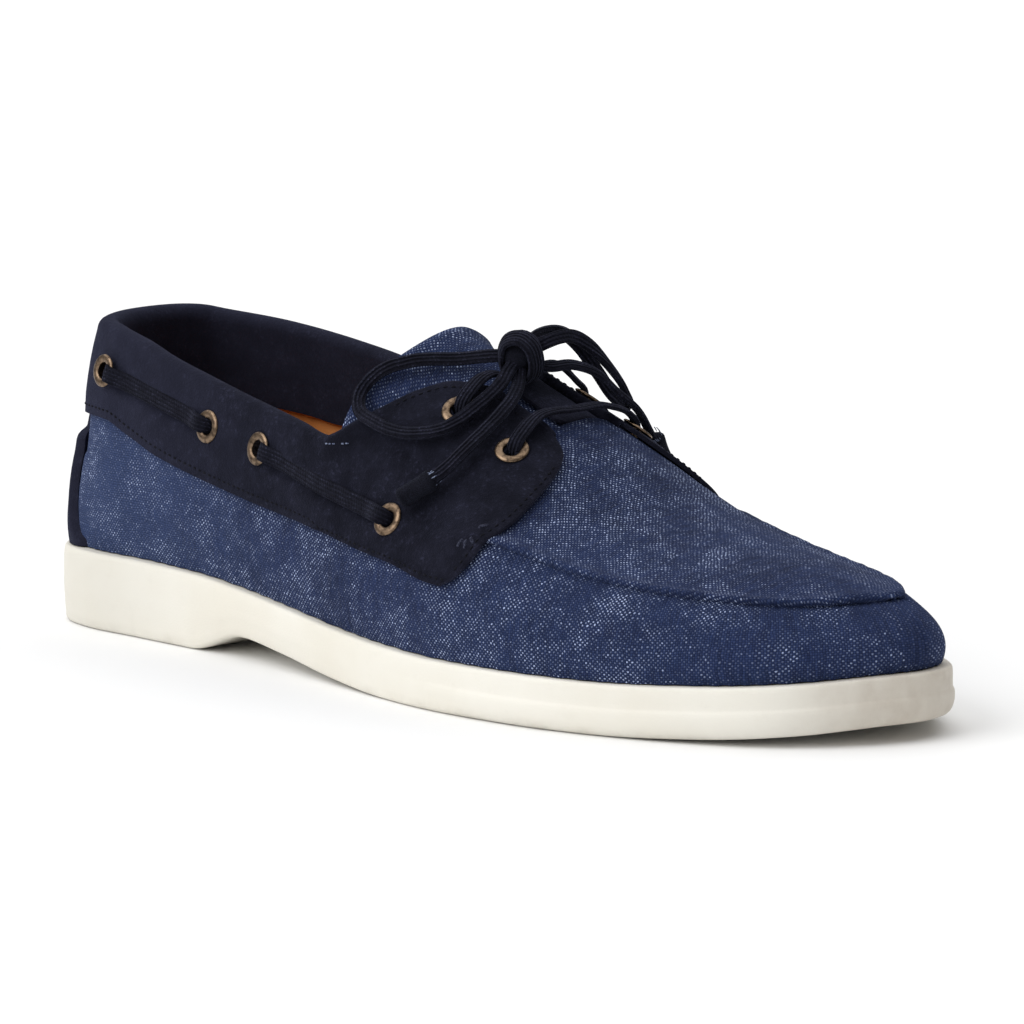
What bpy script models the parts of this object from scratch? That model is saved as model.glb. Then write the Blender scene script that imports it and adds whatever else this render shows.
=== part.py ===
"""A canvas boat-shoe loafer with a suede collar, side lacing and a bow: the right shoe, standing empty.

Frame: +X points to the toe, +Y to the medial (inner) side, +Z up; the sole stands on Z = 0.
The upper is one smooth skin over the last. A place on it is given by the side (lateral or medial),
by how far along the shoe it lies, and by its level: 0 at the feather line where the upper meets the
sole, 1 at the shoulder (the moccasin seam at the toe), 2 at the ridge on top of the last.
"""

import bpy
import bmesh
import numpy as np
from math import pi
from mathutils import Matrix, Vector

# Driving dimensions, in metres
LENGTH = 0.304              # outsole, heel to toe
BALL_WIDTH = 0.104          # outsole at the ball
AXIS_Y = 0.0025             # the heel's axis lies this far to the medial side of the middle
MM = 0.001

# Thicknesses and clearances, in metres
GAP = 0.0003
BAND_GAP = 0.0006
UPPER_WALL = 0.0020
SUEDE = 0.0012
STRIP_THICKNESS = 0.0022
TONGUE_THICKNESS = 0.0020
INSOLE_THICKNESS = 0.0025
LACE_WIDTH = 0.0045
LACE_THICKNESS = 0.0015
LACE_DIAMETER = 0.0030      # a round cord with the flat lace's section
TIP_DIAMETER = 0.0058

LATERAL = -1
MEDIAL = 1
SIDES = {"lateral": LATERAL, "medial": MEDIAL}


def table(names, rows):
    """Named columns as arrays."""
    return dict(zip(names.split(), np.array(rows, float).T))


# Sole outline. along: percent of LENGTH from the heel; lateral, medial: percent of BALL_WIDTH from the axis
OUTLINE = table("along lateral medial", [
    (0.0, 0.0, 0.0),
    (1.0, -15.5, 15.0),
    (3.6, -28.5, 26.0),
    (8.5, -34.5, 32.0),
    (16.5, -35.5, 34.0),
    (29.5, -37.5, 31.0),
    (43.0, -43.5, 28.5),
    (52.5, -49.0, 31.0),
    (62.5, -52.4, 39.5),
    (71.5, -51.0, 46.0),
    (79.5, -45.5, 47.6),
    (87.0, -37.0, 44.0),
    (93.0, -26.5, 37.0),
    (97.0, -13.0, 28.0),
    (99.3, 0.5, 20.0),
    (100.0, 10.5, 10.5),
])

# Sole heights in mm; feather: how far the upper stands in from the sole's edge, in mm
SOLE = table("along top bottom feather", [
    (0.0, 21.8, 0.0, 4.2),
    (15.0, 21.8, 0.0, 3.6),
    (23.5, 21.2, 0.0, 3.0),
    (31.0, 19.5, 6.2, 2.8),
    (37.5, 17.6, 4.4, 2.8),
    (45.5, 15.4, 1.5, 2.8),
    (54.0, 14.2, 0.1, 2.8),
    (60.0, 13.8, 0.0, 2.8),
    (77.5, 13.9, 0.0, 2.8),
    (87.5, 15.0, 1.1, 3.0),
    (95.0, 16.6, 3.0, 3.4),
    (100.0, 18.0, 4.8, 3.6),
])

# Upper. inset_lat, inset_med: the shoulder's distance in from the feather line; shoulder, ridge: heights;
# bulge: how far the wall bows out below the shoulder, all in mm. full: 1 flat flank, 2 upright flank
UPPER = table("along inset_lat inset_med shoulder bulge ridge full", [
    (0.0, 1.2, 1.2, 48.0, 1.2, 139.0, 1.9),
    (8.0, 1.2, 1.2, 48.0, 1.4, 125.0, 1.9),
    (14.0, 0.6, 0.6, 48.0, 1.6, 115.0, 1.9),
    (21.0, 0.0, -0.5, 45.5, 1.6, 110.0, 1.9),
    (34.0, -0.5, -2.5, 43.0, 1.6, 103.0, 1.9),
    (43.0, -0.5, -4.5, 41.5, 1.6, 93.0, 1.9),
    (47.7, 0.5, -5.0, 42.0, 2.0, 89.5, 1.4),
    (52.3, 1.5, -5.0, 42.5, 2.6, 86.0, 1.1),
    (57.5, 4.0, -3.5, 44.0, 3.2, 78.5, 1.0),
    (63.0, 6.0, -0.5, 46.3, 3.8, 69.0, 1.0),
    (68.0, 8.0, 3.5, 44.0, 4.0, 59.5, 1.0),
    (73.0, 9.0, 7.0, 41.0, 4.0, 52.0, 1.0),
    (79.0, 9.2, 9.5, 38.2, 4.2, 47.0, 1.0),
    (85.0, 9.0, 10.5, 36.6, 4.4, 44.0, 1.0),
    (91.0, 8.6, 10.5, 35.6, 4.6, 42.0, 1.0),
    (96.0, 8.8, 10.0, 35.3, 4.8, 39.3, 1.0),
    (100.0, 9.5, 9.5, 35.6, 5.0, 36.0, 1.0),
])

# Height of the topline in mm: the collar, down to the V, then up and over the flap's throat edge
TOPLINE = table("along lateral medial", [
    (0.0, 87.4, 87.4),
    (6.3, 86.2, 85.4),
    (13.0, 83.2, 83.6),
    (17.8, 79.6, 82.0),
    (24.3, 75.6, 80.0),
    (29.3, 72.7, 78.0),
    (34.0, 70.4, 74.6),
    (38.0, 68.4, 71.4),
    (42.3, 66.0, 68.2),
    (43.4, 67.0, 68.8),
    (45.4, 70.5, 71.9),
    (47.7, 74.8, 76.2),
    (50.0, 78.9, 80.4),
    (52.3, 81.0, 83.6),
    (55.0, 79.8, 81.2),
    (57.5, 76.2, 77.1),
    (60.5, 71.6, 72.1),
    (63.5, 67.3, 67.3),
])
THROAT_END = 63.5           # percent of LENGTH: the plug's rear edge, where the throat ends

# Lower edge of the suede collar, height in mm
BAND_EDGE = table("along height", [
    (0.0, 59.0),
    (6.0, 59.4),
    (10.0, 59.2),
    (14.0, 56.0),
    (18.4, 52.0),
    (26.8, 47.1),
    (33.8, 44.3),
    (41.1, 42.0),
    (48.3, 38.9),
    (54.3, 36.8),
    (60.5, 33.7),
    (63.5, 33.4),
])
# Front edge of a flap, from its lower corner (up = 0) to the throat edge (up = 1)
FLAP_FRONT = table("up along", [
    (0.00, 61.8),
    (0.05, 63.0),
    (0.20, 64.6),
    (0.44, 65.6),
    (0.62, 66.1),
    (0.76, 66.0),
    (0.90, 65.2),
    (0.97, 64.3),
    (1.00, 63.3),
])

# Tongue: ridge lift above the last in mm, and how far back its rear edge lies at the ridge and at the sides
TONGUE_LIFT = table("along lift", [
    (40.0, 6.5),
    (46.7, 6.0),
    (51.0, 3.0),
    (55.0, 0.5),
    (58.0, 0.0),
    (70.0, 0.0),
])
TONGUE_REAR_RIDGE = 45.2
TONGUE_REAR_SIDE = 42.8
TONGUE_FRONT = 66.0
TONGUE_SIDE_LEVEL = 1.24

# Heel strip: how far round it reaches, in percent of LENGTH, at heights in mm
STRIP_EDGE = table("height along", [
    (22.8, 7.5),
    (27.0, 5.2),
    (33.0, 3.8),
    (44.0, 3.3),
    (50.5, 3.0),
    (52.2, 2.5),
    (53.0, 1.6),
])

# Eyelets, on both sides: percent of LENGTH and height in mm; the inner flap's two lie nearer the ridge
EYELETS = {
    "side_1": (9.6, 72.4),
    "side_2": (25.9, 62.2),
    "side_3": (33.7, 59.0),
    "side_4": (53.0, 46.9),
    "throat_1": (54.5, 73.8),
    "throat_2": (60.9, 65.0),
}
INNER_EYELETS = {
    "throat_1": (57.9, 73.8),
    "throat_2": (61.6, 66.0),
}
EYELET_RADIUS = 0.0036      # to the middle of the ring
EYELET_RING = 0.0009        # half the ring's width
EYELET_RISE = 0.00055       # half the ring's height

# Lace where it shows on the collar, between two side eyelets
LACE_BARS = {"rear": ("side_1", "side_2"), "front": ("side_3", "side_4")}
BAR_STEPS = 9

# Lace across the throat in mm: the points between its two eyelets
CROSSINGS = {
    "front": ("throat_2", [(34.0, -12.5, 74.6), (35.0, 0.0, 75.4), (35.4, 12.5, 75.0)]),
    "rear": ("throat_1", [(15.4, -12.5, 83.9), (16.2, -3.0, 82.1), (18.0, 11.5, 84.4)]),
}
CROSSING_LIFT = 0.0036      # middle of the lace above the suede, over an eyelet
CROSSING_STEPS = 8

# Bow in mm: the knot, and the routes of its loops and ends, each from the knot
KNOT_CENTRE = (17.5, -3.0, 88.3)
KNOT_RADII = (6.2, 6.2, 5.0)
ROUTES = {
    "lace_loop_left": [
        (12.8, -7.9, 88.2), (4.4, -12.2, 87.0), (-6.6, -20.4, 86.0), (-12.6, -25.4, 83.3),
        (-15.6, -29.8, 78.1), (-13.0, -33.2, 74.2), (-4.5, -35.7, 71.5), (6.4, -35.0, 69.6),
        (17.0, -30.0, 71.6), (20.6, -22.0, 76.8), (21.0, -13.5, 82.0), (19.5, -9.0, 84.9),
    ],
    "lace_loop_right": [
        (21.8, 2.2, 91.6), (22.8, 7.0, 92.8), (22.4, 12.5, 92.4), (22.6, 18.0, 89.6),
        (24.2, 23.5, 84.0), (26.6, 27.4, 77.4), (25.4, 30.6, 72.4), (19.6, 31.4, 73.6),
        (15.0, 29.0, 80.4), (12.6, 24.6, 87.4), (12.4, 18.4, 91.8), (13.6, 11.0, 92.8),
        (15.2, 4.9, 92.0),
    ],
    "lace_end_left": [
        (21.0, -6.6, 83.0), (25.0, -12.0, 79.6), (27.2, -19.0, 75.6), (27.2, -26.0, 71.0),
        (26.6, -32.6, 66.6), (24.6, -38.0, 61.8),
    ],
    "lace_end_right": [
        (22.6, 1.6, 85.4), (26.4, 8.0, 85.6), (29.0, 14.6, 83.0), (31.0, 20.6, 77.4),
        (31.8, 27.4, 72.0), (31.1, 32.4, 66.0),
    ],
}
TIPS = {
    "lace_tip_left": ((23.8, -39.8, 60.4), (15.2, -45.4, 53.4)),
    "lace_tip_right": ((30.8, 34.2, 64.2), (29.4, 40.6, 55.0)),
}
CORD_STEP = 0.0070

HEEL_FAN_END = 28.0         # behind this the ridge point is drawn forward
HEEL_CENTRE = 0.052
RIDGE_SHARE = table("along share", [
    (0.0, 0.50),
    (30.0, 0.50),
    (55.0, 0.54),
    (65.0, 0.58),
    (80.0, 0.56),
    (92.0, 0.52),
    (100.0, 0.50),
])

BLUE_CANVAS = (0.035, 0.065, 0.19)
NAVY_SUEDE = (0.011, 0.012, 0.022)
OFF_WHITE = (0.78, 0.76, 0.69)
TAN = (0.48, 0.22, 0.07)
BRASS = (0.35, 0.25, 0.15)


# ---------------------------------------------------------------- curves through table rows

def hermite(xs, ys, slopes, x):
    """Cubic through the rows with the given slopes."""
    x = np.asarray(x, float)
    i = np.clip(np.searchsorted(xs, x, side="right") - 1, 0, len(xs) - 2)
    width = xs[i + 1] - xs[i]
    u = np.clip((x - xs[i]) / width, 0, 1)
    return ((2 * u**3 - 3 * u**2 + 1) * ys[i] + (u**3 - 2 * u**2 + u) * width * slopes[i]
            + (3 * u**2 - 2 * u**3) * ys[i + 1] + (u**3 - u**2) * width * slopes[i + 1])


def steady(xs, ys, x):
    """A curve that never swings past its rows."""
    rise = np.diff(ys) / np.diff(xs)
    slopes = np.zeros(len(xs))
    for i in range(1, len(xs) - 1):
        if rise[i - 1] * rise[i] > 0:
            slopes[i] = 2 * rise[i - 1] * rise[i] / (rise[i - 1] + rise[i])
    return hermite(xs, ys, slopes, x)


def round_curve(xs, ys, x):
    """A fuller curve, for outlines."""
    run = np.diff(xs)
    rise = np.diff(ys) / run
    slopes = np.empty(len(xs))
    slopes[1:-1] = (rise[:-1] * run[1:] + rise[1:] * run[:-1]) / (run[:-1] + run[1:])
    slopes[0] = 1.5 * rise[0] - 0.5 * slopes[1]
    slopes[-1] = 1.5 * rise[-1] - 0.5 * slopes[-2]
    return hermite(xs, ys, slopes, x)


def look_up(rows, name, along):
    """One column of a table at a place along the shoe."""
    return steady(rows["along"], rows[name], along)


def smooth_route(points, steps):
    """Evenly spaced points on a smooth curve through the route's own points, given in mm."""
    points = np.array(points, float) * MM
    reach = np.concatenate([[0], np.cumsum(np.linalg.norm(np.diff(points, axis=0), axis=1))])
    fine = np.linspace(0, reach[-1], 40 * len(points))
    curve = np.stack([round_curve(reach, points[:, axis], fine) for axis in range(3)], 1)
    length = np.concatenate([[0], np.cumsum(np.linalg.norm(np.diff(curve, axis=0), axis=1))])
    even = np.linspace(0, length[-1], steps + 1)
    return np.stack([np.interp(even, length, curve[:, axis]) for axis in range(3)], 1), length[-1]


# ---------------------------------------------------------------- the sole's outline

def progress(along):
    """0 at the heel, 1 at the toe, slow at both ends so that they come out round."""
    return np.arccos(np.clip(1 - np.asarray(along, float) / 50, -1, 1)) / pi


def along_at(t):
    return 50 * (1 - np.cos(pi * np.asarray(t, float)))


def outline(side, t):
    """Sole outline in plan, before it is moved to the frame."""
    name = "lateral" if side == LATERAL else "medial"
    y = round_curve(progress(OUTLINE["along"]), OUTLINE[name], t) * BALL_WIDTH / 100
    return np.stack([along_at(t) * LENGTH / 100, y], -1)


def outline_past_ends(side, t):
    """The outline carried on round the heel and the toe onto the other side."""
    inside = outline(side, np.clip(t, 0, 1))
    beyond = outline(-side, np.where(t < 0, -t, np.where(t > 1, 2 - t, 0.5)))
    return np.where(((t < 0) | (t > 1))[..., None], beyond, inside)


def outward(side, t):
    """Unit vector out of the outline, in plan."""
    step = 1e-4
    t = np.asarray(t, float)
    run = outline_past_ends(side, t + step) - outline_past_ends(side, t - step)
    run /= np.linalg.norm(run, axis=-1, keepdims=True)
    return np.stack([-run[..., 1], run[..., 0]], -1) * side


def inset_outline(side, t, distance):
    return outline(side, t) - outward(side, t) * np.asarray(distance)[..., None]


def in_frame(points):
    """From heel-based to the part's frame, whose origin is under the middle of its box."""
    return points + np.array([-LENGTH / 2, AXIS_Y, 0])


def with_height(plan, height):
    return np.concatenate([plan, np.broadcast_to(height, plan.shape[:-1])[..., None]], -1)


# ---------------------------------------------------------------- the upper's skin

def stations(side, t):
    """Feather point, shoulder point and ridge point of the section at progress t."""
    along = along_at(t)
    feather_inset = look_up(SOLE, "feather", along) * MM
    feather = with_height(inset_outline(side, t, feather_inset), look_up(SOLE, "top", along) * MM + GAP)
    shoulders = {}
    for name, each in (("inset_lat", LATERAL), ("inset_med", MEDIAL)):
        shoulders[each] = inset_outline(each, t, feather_inset + look_up(UPPER, name, along) * MM)
    share = look_up(RIDGE_SHARE, "share", along)[..., None]
    ridge = shoulders[LATERAL] * (1 - share) + shoulders[MEDIAL] * share
    ridge[..., 0] += HEEL_CENTRE * np.clip(1 - along / HEEL_FAN_END, 0, 1) ** 2
    shoulder = with_height(shoulders[side], look_up(UPPER, "shoulder", along) * MM)
    return feather, shoulder, with_height(ridge, look_up(UPPER, "ridge", along) * MM)


def skin(side, t, level, lift=0.0):
    """Points of the upper's outer skin; lift raises the ridge."""
    t, level = np.broadcast_arrays(np.asarray(t, float), np.asarray(level, float))
    feather, shoulder, ridge = stations(side, t)
    along = along_at(t)
    low = np.clip(level, 0, 1)
    wall = feather + (shoulder - feather) * low[..., None]
    bulge = look_up(UPPER, "bulge", along) * MM * 4 * low * (1 - low)
    wall[..., :2] += outward(side, t) * bulge[..., None]
    turn = np.clip(level - 1, 0, 1) * pi / 2
    top = np.empty_like(wall)
    top[..., :2] = ridge[..., :2] + (shoulder - ridge)[..., :2] * np.cos(turn)[..., None]
    rise = np.sin(turn) ** (2 / look_up(UPPER, "full", along))
    top[..., 2] = shoulder[..., 2] + (ridge[..., 2] - shoulder[..., 2]) * rise + lift
    return in_frame(np.where((level > 1)[..., None], top, wall))


def skin_normal(side, t, level, lift=0.0):
    """Unit normal out of the skin."""
    step = 2e-3
    t, level = np.broadcast_arrays(np.asarray(t, float), np.asarray(level, float))
    t = np.clip(t, 2 * step, 1 - 2 * step)
    level = np.clip(level, step, 2 - 2 * step)
    across = skin(side, t + step, level, lift) - skin(side, t - step, level, lift)
    up = skin(side, t, level + step, lift) - skin(side, t, level - step, lift)
    normal = np.cross(across, up) * -side
    return normal / np.linalg.norm(normal, axis=-1, keepdims=True)


def skin_off(side, t, level, offset, lift=0.0):
    """The skin moved along its normal; at the heel's middle plane it stays in that plane."""
    normal = skin_normal(side, t, level, lift)
    middle = (np.broadcast_to(t, normal.shape[:-1]) < 1e-9)
    normal[middle, 1] = 0
    normal[middle] /= np.linalg.norm(normal[middle], axis=-1, keepdims=True)
    return skin(side, t, level, lift) + normal * offset


def level_at_height(side, t, height):
    """The level at which the skin reaches a height in metres."""
    feather, shoulder, ridge = stations(side, t)
    low = (height - feather[..., 2]) / (shoulder[..., 2] - feather[..., 2])
    share = np.clip((height - shoulder[..., 2]) / (ridge[..., 2] - shoulder[..., 2]), 0, 1)
    high = 1 + np.arcsin(share ** (look_up(UPPER, "full", along_at(t)) / 2)) / (pi / 2)
    return np.where(low < 1, low, high)


def topline_level(side, t):
    """Level of the collar and throat edge; ahead of the throat it stays as at the throat's end."""
    name = "lateral" if side == LATERAL else "medial"
    t = np.minimum(t, progress(THROAT_END))
    return level_at_height(side, t, look_up(TOPLINE, name, along_at(t)) * MM)


# ---------------------------------------------------------------- meshes and objects

for old in list(bpy.data.objects):
    bpy.data.objects.remove(old)
parts = bpy.data.collections.new("loafer")
bpy.context.scene.collection.children.link(parts)


def material(name, colour, roughness, metallic=0.0):
    made = bpy.data.materials.new(name)
    made.use_nodes = True
    shader = made.node_tree.nodes["Principled BSDF"]
    shader.inputs["Base Color"].default_value = (*colour, 1)
    shader.inputs["Roughness"].default_value = roughness
    shader.inputs["Metallic"].default_value = metallic
    return made


CANVAS = material("blue_canvas", BLUE_CANVAS, 0.85)
SUEDE_NAVY = material("navy_suede", NAVY_SUEDE, 0.95)
RUBBER = material("white_rubber", OFF_WHITE, 0.6)
LEATHER = material("tan_leather", TAN, 0.5)
METAL = material("antique_brass", BRASS, 0.35, 1.0)
LACE = material("navy_lace", NAVY_SUEDE, 0.8)


def add_grid(mesh, points, flip=False):
    """A sheet of faces through rows of points."""
    rows = [[mesh.verts.new(point) for point in row] for row in points]
    for here, ahead in zip(rows, rows[1:]):
        for j in range(len(here) - 1):
            corners = (here[j], ahead[j], ahead[j + 1], here[j + 1])
            mesh.faces.new(corners[::-1] if flip else corners)


def finish(name, mesh, surface):
    """Weld a bmesh and make it a named part."""
    bmesh.ops.remove_doubles(mesh, verts=mesh.verts, dist=1e-5)
    data = bpy.data.meshes.new(name)
    mesh.to_mesh(data)
    mesh.free()
    data.materials.append(surface)
    data.shade_smooth()
    data.set_sharp_from_angle(angle=0.7)
    made = bpy.data.objects.new(name, data)
    parts.objects.link(made)
    return made


def thicken(piece, thickness, outside):
    """Solidify a sheet outwards or inwards."""
    wall = piece.modifiers.new("wall", "SOLIDIFY")
    wall.thickness = thickness
    wall.offset = 1 if outside else -1
    wall.use_even_offset = True
    wall.use_quality_normals = True


def loop_rings(ts, rings):
    """Closed rings round the footprint: rings give (inset, height function)."""
    made = []
    for inset, height in rings:
        lateral = with_height(inset_outline(LATERAL, ts, inset(along_at(ts))), height(along_at(ts)))
        medial = with_height(inset_outline(MEDIAL, ts, inset(along_at(ts))), height(along_at(ts)))
        made.append((in_frame(lateral), in_frame(medial)))
    return made


def slab(name, ts, rings, surface):
    """A closed solid from rings, lowest first, capped by strips across the shoe."""
    mesh = bmesh.new()
    made = loop_rings(ts, rings)
    lateral = np.stack([ring[0] for ring in made], 1)
    medial = np.stack([ring[1] for ring in made], 1)
    add_grid(mesh, lateral)
    add_grid(mesh, medial, flip=True)
    for ring, flip in ((made[0], True), (made[-1], False)):
        add_grid(mesh, np.stack(ring, 1), flip=flip)
    return finish(name, mesh, surface)


# ---------------------------------------------------------------- sole and insole

def build_outsole():
    breast = progress(np.array([23.0, 25.0, 30.0, 32.0]))
    ts = np.unique(np.concatenate([np.linspace(0, 1, 35), breast]).round(5))

    def bottom(along):
        return look_up(SOLE, "bottom", along) * MM

    def top(along):
        return look_up(SOLE, "top", along) * MM

    def inset(distance):
        return lambda along: distance + 0 * along

    rings = [
        (inset(2.2 * MM), bottom),
        (inset(0.6 * MM), lambda along: bottom(along) + 0.7 * MM),
        (inset(0.0), lambda along: bottom(along) + 2.6 * MM),
        (inset(0.0), lambda along: bottom(along) * 0.4 + top(along) * 0.6),
        (inset(0.5 * MM), lambda along: top(along) - 0.6 * MM),
        (inset(1.1 * MM), top),
    ]
    return slab("outsole", ts, rings, RUBBER)


def build_insole():
    def inset(along):
        return look_up(SOLE, "feather", along) * MM + UPPER_WALL + 2 * GAP

    def under(along):
        return look_up(SOLE, "top", along) * MM + GAP

    def over(along):
        return under(along) + INSOLE_THICKNESS

    return slab("insole", np.linspace(0, 1, 27), [(inset, under), (inset, over)], LEATHER)


# ---------------------------------------------------------------- upper

CANVAS_UNDER_FLAP = 0.07    # levels
WALL_LEVELS = np.array([0, 0.25, 0.5, 0.75, 1.0])
FLANK_STEPS = 8
PLUG_STEPS = 2


def canvas_edge(side, t):
    """The canvas ends at the collar, but stays back under the flaps at the throat."""
    under = np.clip((along_at(t) - 43.4) / 6, 0, 1)
    return topline_level(side, t) - CANVAS_UNDER_FLAP * under


def flank_levels(side, t):
    """Levels from the shoulder to the canvas's top edge, one row a station."""
    share = np.linspace(0, 1, FLANK_STEPS + 1)
    return 1 + (canvas_edge(side, t)[:, None] - 1) * share


def build_upper():
    throat_end = progress(THROAT_END)
    v_corner = progress(42.3)
    rear = np.unique(np.concatenate([np.linspace(0, v_corner, 18), np.linspace(v_corner, throat_end, 12)]))
    front = np.linspace(throat_end, 1, 17)
    every = np.concatenate([rear, front[1:]])
    mesh = bmesh.new()
    for side in SIDES.values():
        flip = side == MEDIAL
        add_grid(mesh, skin(side, every[:, None], WALL_LEVELS), flip)
        add_grid(mesh, skin(side, rear[:, None], flank_levels(side, rear)), flip)
    halves = {}
    for side in SIDES.values():
        edge = canvas_edge(side, front)[:, None]
        inner = edge + (2 - edge) * np.linspace(0, 1, PLUG_STEPS + 1)[1:]
        levels = np.concatenate([flank_levels(side, front), inner], 1)
        halves[side] = skin(side, front[:, None], levels)
    plug = np.concatenate([halves[LATERAL], halves[MEDIAL][:, -2::-1]], 1)
    add_grid(mesh, plug)
    upper = finish("upper", mesh, CANVAS)
    thicken(upper, UPPER_WALL, outside=False)
    return upper


# ---------------------------------------------------------------- suede collar and heel strip

def build_collar_band():
    mesh = bmesh.new()
    up = np.array([0, 0.07, 0.2, 0.36, 0.52, 0.68, 0.84, 0.94, 1.0])
    reach = np.linspace(0, 1, 31)[:, None]
    for side in SIDES.values():
        front_edge = steady(FLAP_FRONT["up"], FLAP_FRONT["along"], up)
        t = reach * progress(front_edge)
        height = look_up(BAND_EDGE, "height", along_at(t)) * MM
        low = level_at_height(side, t, height)
        level = low + (topline_level(side, t) - low) * up
        add_grid(mesh, skin_off(side, t, level, BAND_GAP), flip=side == MEDIAL)
    band = finish("collar_band", mesh, SUEDE_NAVY)
    thicken(band, SUEDE, outside=True)
    return band


def build_heel_strip():
    mesh = bmesh.new()
    height = np.array([22.8, 24.5, 27.0, 30.0, 33.0, 38.0, 43.0, 47.0, 50.5, 52.2, 53.0])
    edge = steady(STRIP_EDGE["height"], STRIP_EDGE["along"], height)
    t = np.linspace(0, 1, 8)[:, None] * progress(edge)
    for side in SIDES.values():
        level = level_at_height(side, t, height * MM)
        add_grid(mesh, skin_off(side, t, level, BAND_GAP), flip=side == MEDIAL)
    strip = finish("heel_strip", mesh, SUEDE_NAVY)
    thicken(strip, STRIP_THICKNESS, outside=True)
    return strip


# ---------------------------------------------------------------- tongue

def build_tongue():
    mesh = bmesh.new()
    level = np.linspace(TONGUE_SIDE_LEVEL, 2, 9)
    share = (level - level[0]) / (level[-1] - level[0])
    rear = TONGUE_REAR_SIDE + (TONGUE_REAR_RIDGE - TONGUE_REAR_SIDE) * np.sin(share * pi / 2) ** 2
    reach = np.linspace(0, 1, 11)[:, None]
    t = progress(rear + (TONGUE_FRONT - rear) * reach)
    halves = {}
    for side in SIDES.values():
        edge = topline_level(side, t)
        inside = np.clip((level - edge) / (2 - edge), 0, 1)
        lift = look_up(TONGUE_LIFT, "lift", along_at(t)) * MM * np.sin(inside * pi / 2)
        halves[side] = skin_off(side, t, level + 0 * t, -(UPPER_WALL + 2 * GAP), lift)
    middle = 0.5 * (halves[LATERAL][:, -1] + halves[MEDIAL][:, -1])
    sheet = np.concatenate([halves[LATERAL][:, :-1], middle[:, None], halves[MEDIAL][:, -2::-1]], 1)
    add_grid(mesh, sheet)
    tongue = finish("tongue", mesh, CANVAS)
    thicken(tongue, TONGUE_THICKNESS, outside=False)
    return tongue


# ---------------------------------------------------------------- eyelets and lace on the collar

def eyelet_place(side, name):
    """Progress and level of an eyelet's middle."""
    along, height = INNER_EYELETS.get(name, EYELETS[name]) if side == MEDIAL else EYELETS[name]
    t = progress(along)
    return t, level_at_height(side, t, height * MM)


def build_eyelet(side, side_name, name):
    t, level = eyelet_place(side, name)
    normal = Vector(skin_normal(side, t, level))
    middle = Vector(skin_off(side, t, level, BAND_GAP + SUEDE + GAP + EYELET_RISE))
    bpy.ops.mesh.primitive_torus_add(
        major_segments=14, minor_segments=4, major_radius=EYELET_RADIUS, minor_radius=EYELET_RING)
    ring = bpy.context.object
    ring.name = f"eyelet_{name}_{side_name}"
    ring.data.transform(Matrix.Diagonal((1, 1, EYELET_RISE / EYELET_RING, 1)))
    ring.location = middle
    ring.rotation_mode = "QUATERNION"
    ring.rotation_quaternion = normal.to_track_quat("Z", "Y")
    ring.data.materials.append(METAL)
    ring.data.shade_smooth()
    move_to_parts(ring)


def build_lace_bar(side, side_name, name, first, last):
    """The lace from one eyelet's rim to the next, lying flat on the suede."""
    ends = [EYELETS[first], EYELETS[last]]
    clear = (EYELET_RADIUS + EYELET_RING + 2 * GAP) / LENGTH * 100
    along = np.linspace(ends[0][0] + clear, ends[1][0] - clear, BAR_STEPS + 1)
    height = np.interp(along, [ends[0][0], ends[1][0]], [ends[0][1], ends[1][1]])
    t = progress(along)[:, None]
    edges = (height[:, None] + np.array([-0.5, 0.5]) * LACE_WIDTH / MM) * MM
    level = level_at_height(side, t, edges)
    mesh = bmesh.new()
    add_grid(mesh, skin_off(side, t, level, BAND_GAP + SUEDE + GAP), flip=side == MEDIAL)
    bar = finish(f"lace_bar_{name}_{side_name}", mesh, LACE)
    thicken(bar, LACE_THICKNESS, outside=True)


def build_crossing(name, eyelet, middle_points):
    """The lace from over one throat eyelet to over the other, lying flat across the throat."""
    ends = []
    for side in (LATERAL, MEDIAL):
        t, level = eyelet_place(side, eyelet)
        ends.append(tuple(skin_off(side, t, level, BAND_GAP + SUEDE + CROSSING_LIFT) / MM))
    line, _ = smooth_route([ends[0], *middle_points, ends[1]], CROSSING_STEPS)
    half_width = np.array([LACE_WIDTH / 2, 0, 0])
    mesh = bmesh.new()
    add_grid(mesh, np.stack([line - half_width, line + half_width], 1), flip=True)
    crossing = finish(f"lace_cross_{name}", mesh, LACE)
    thicken(crossing, LACE_THICKNESS, outside=True)
    crossing.modifiers["wall"].offset = 0


# ---------------------------------------------------------------- bow

def build_knot():
    mesh = bmesh.new()
    bmesh.ops.create_uvsphere(mesh, u_segments=12, v_segments=8, radius=1)
    bmesh.ops.scale(mesh, vec=Vector(KNOT_RADII) * MM, verts=mesh.verts)
    bmesh.ops.translate(mesh, vec=Vector(KNOT_CENTRE) * MM, verts=mesh.verts)
    finish("lace_knot", mesh, LACE)


def build_cord(name, route):
    """A round cord with closed ends along a route."""
    _, length = smooth_route(route, 1)
    line, _ = smooth_route(route, round(length / CORD_STEP))
    data = bpy.data.curves.new(name, "CURVE")
    data.dimensions = "3D"
    data.bevel_depth = LACE_DIAMETER / 2
    data.bevel_resolution = 2
    data.use_fill_caps = True
    spline = data.splines.new("POLY")
    spline.points.add(len(line) - 1)
    for point, place in zip(spline.points, line):
        point.co = (*place, 1)
    data.materials.append(LACE)
    parts.objects.link(bpy.data.objects.new(name, data))


def build_tip(name, start, end):
    """The rolled barrel on a lace's end."""
    start, end = Vector(start) * MM, Vector(end) * MM
    bpy.ops.mesh.primitive_cylinder_add(vertices=10, radius=TIP_DIAMETER / 2, depth=(end - start).length)
    barrel = bpy.context.object
    barrel.name = name
    barrel.location = (start + end) / 2
    barrel.rotation_mode = "QUATERNION"
    barrel.rotation_quaternion = (end - start).to_track_quat("Z", "Y")
    barrel.data.materials.append(LACE)
    move_to_parts(barrel)


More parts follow.
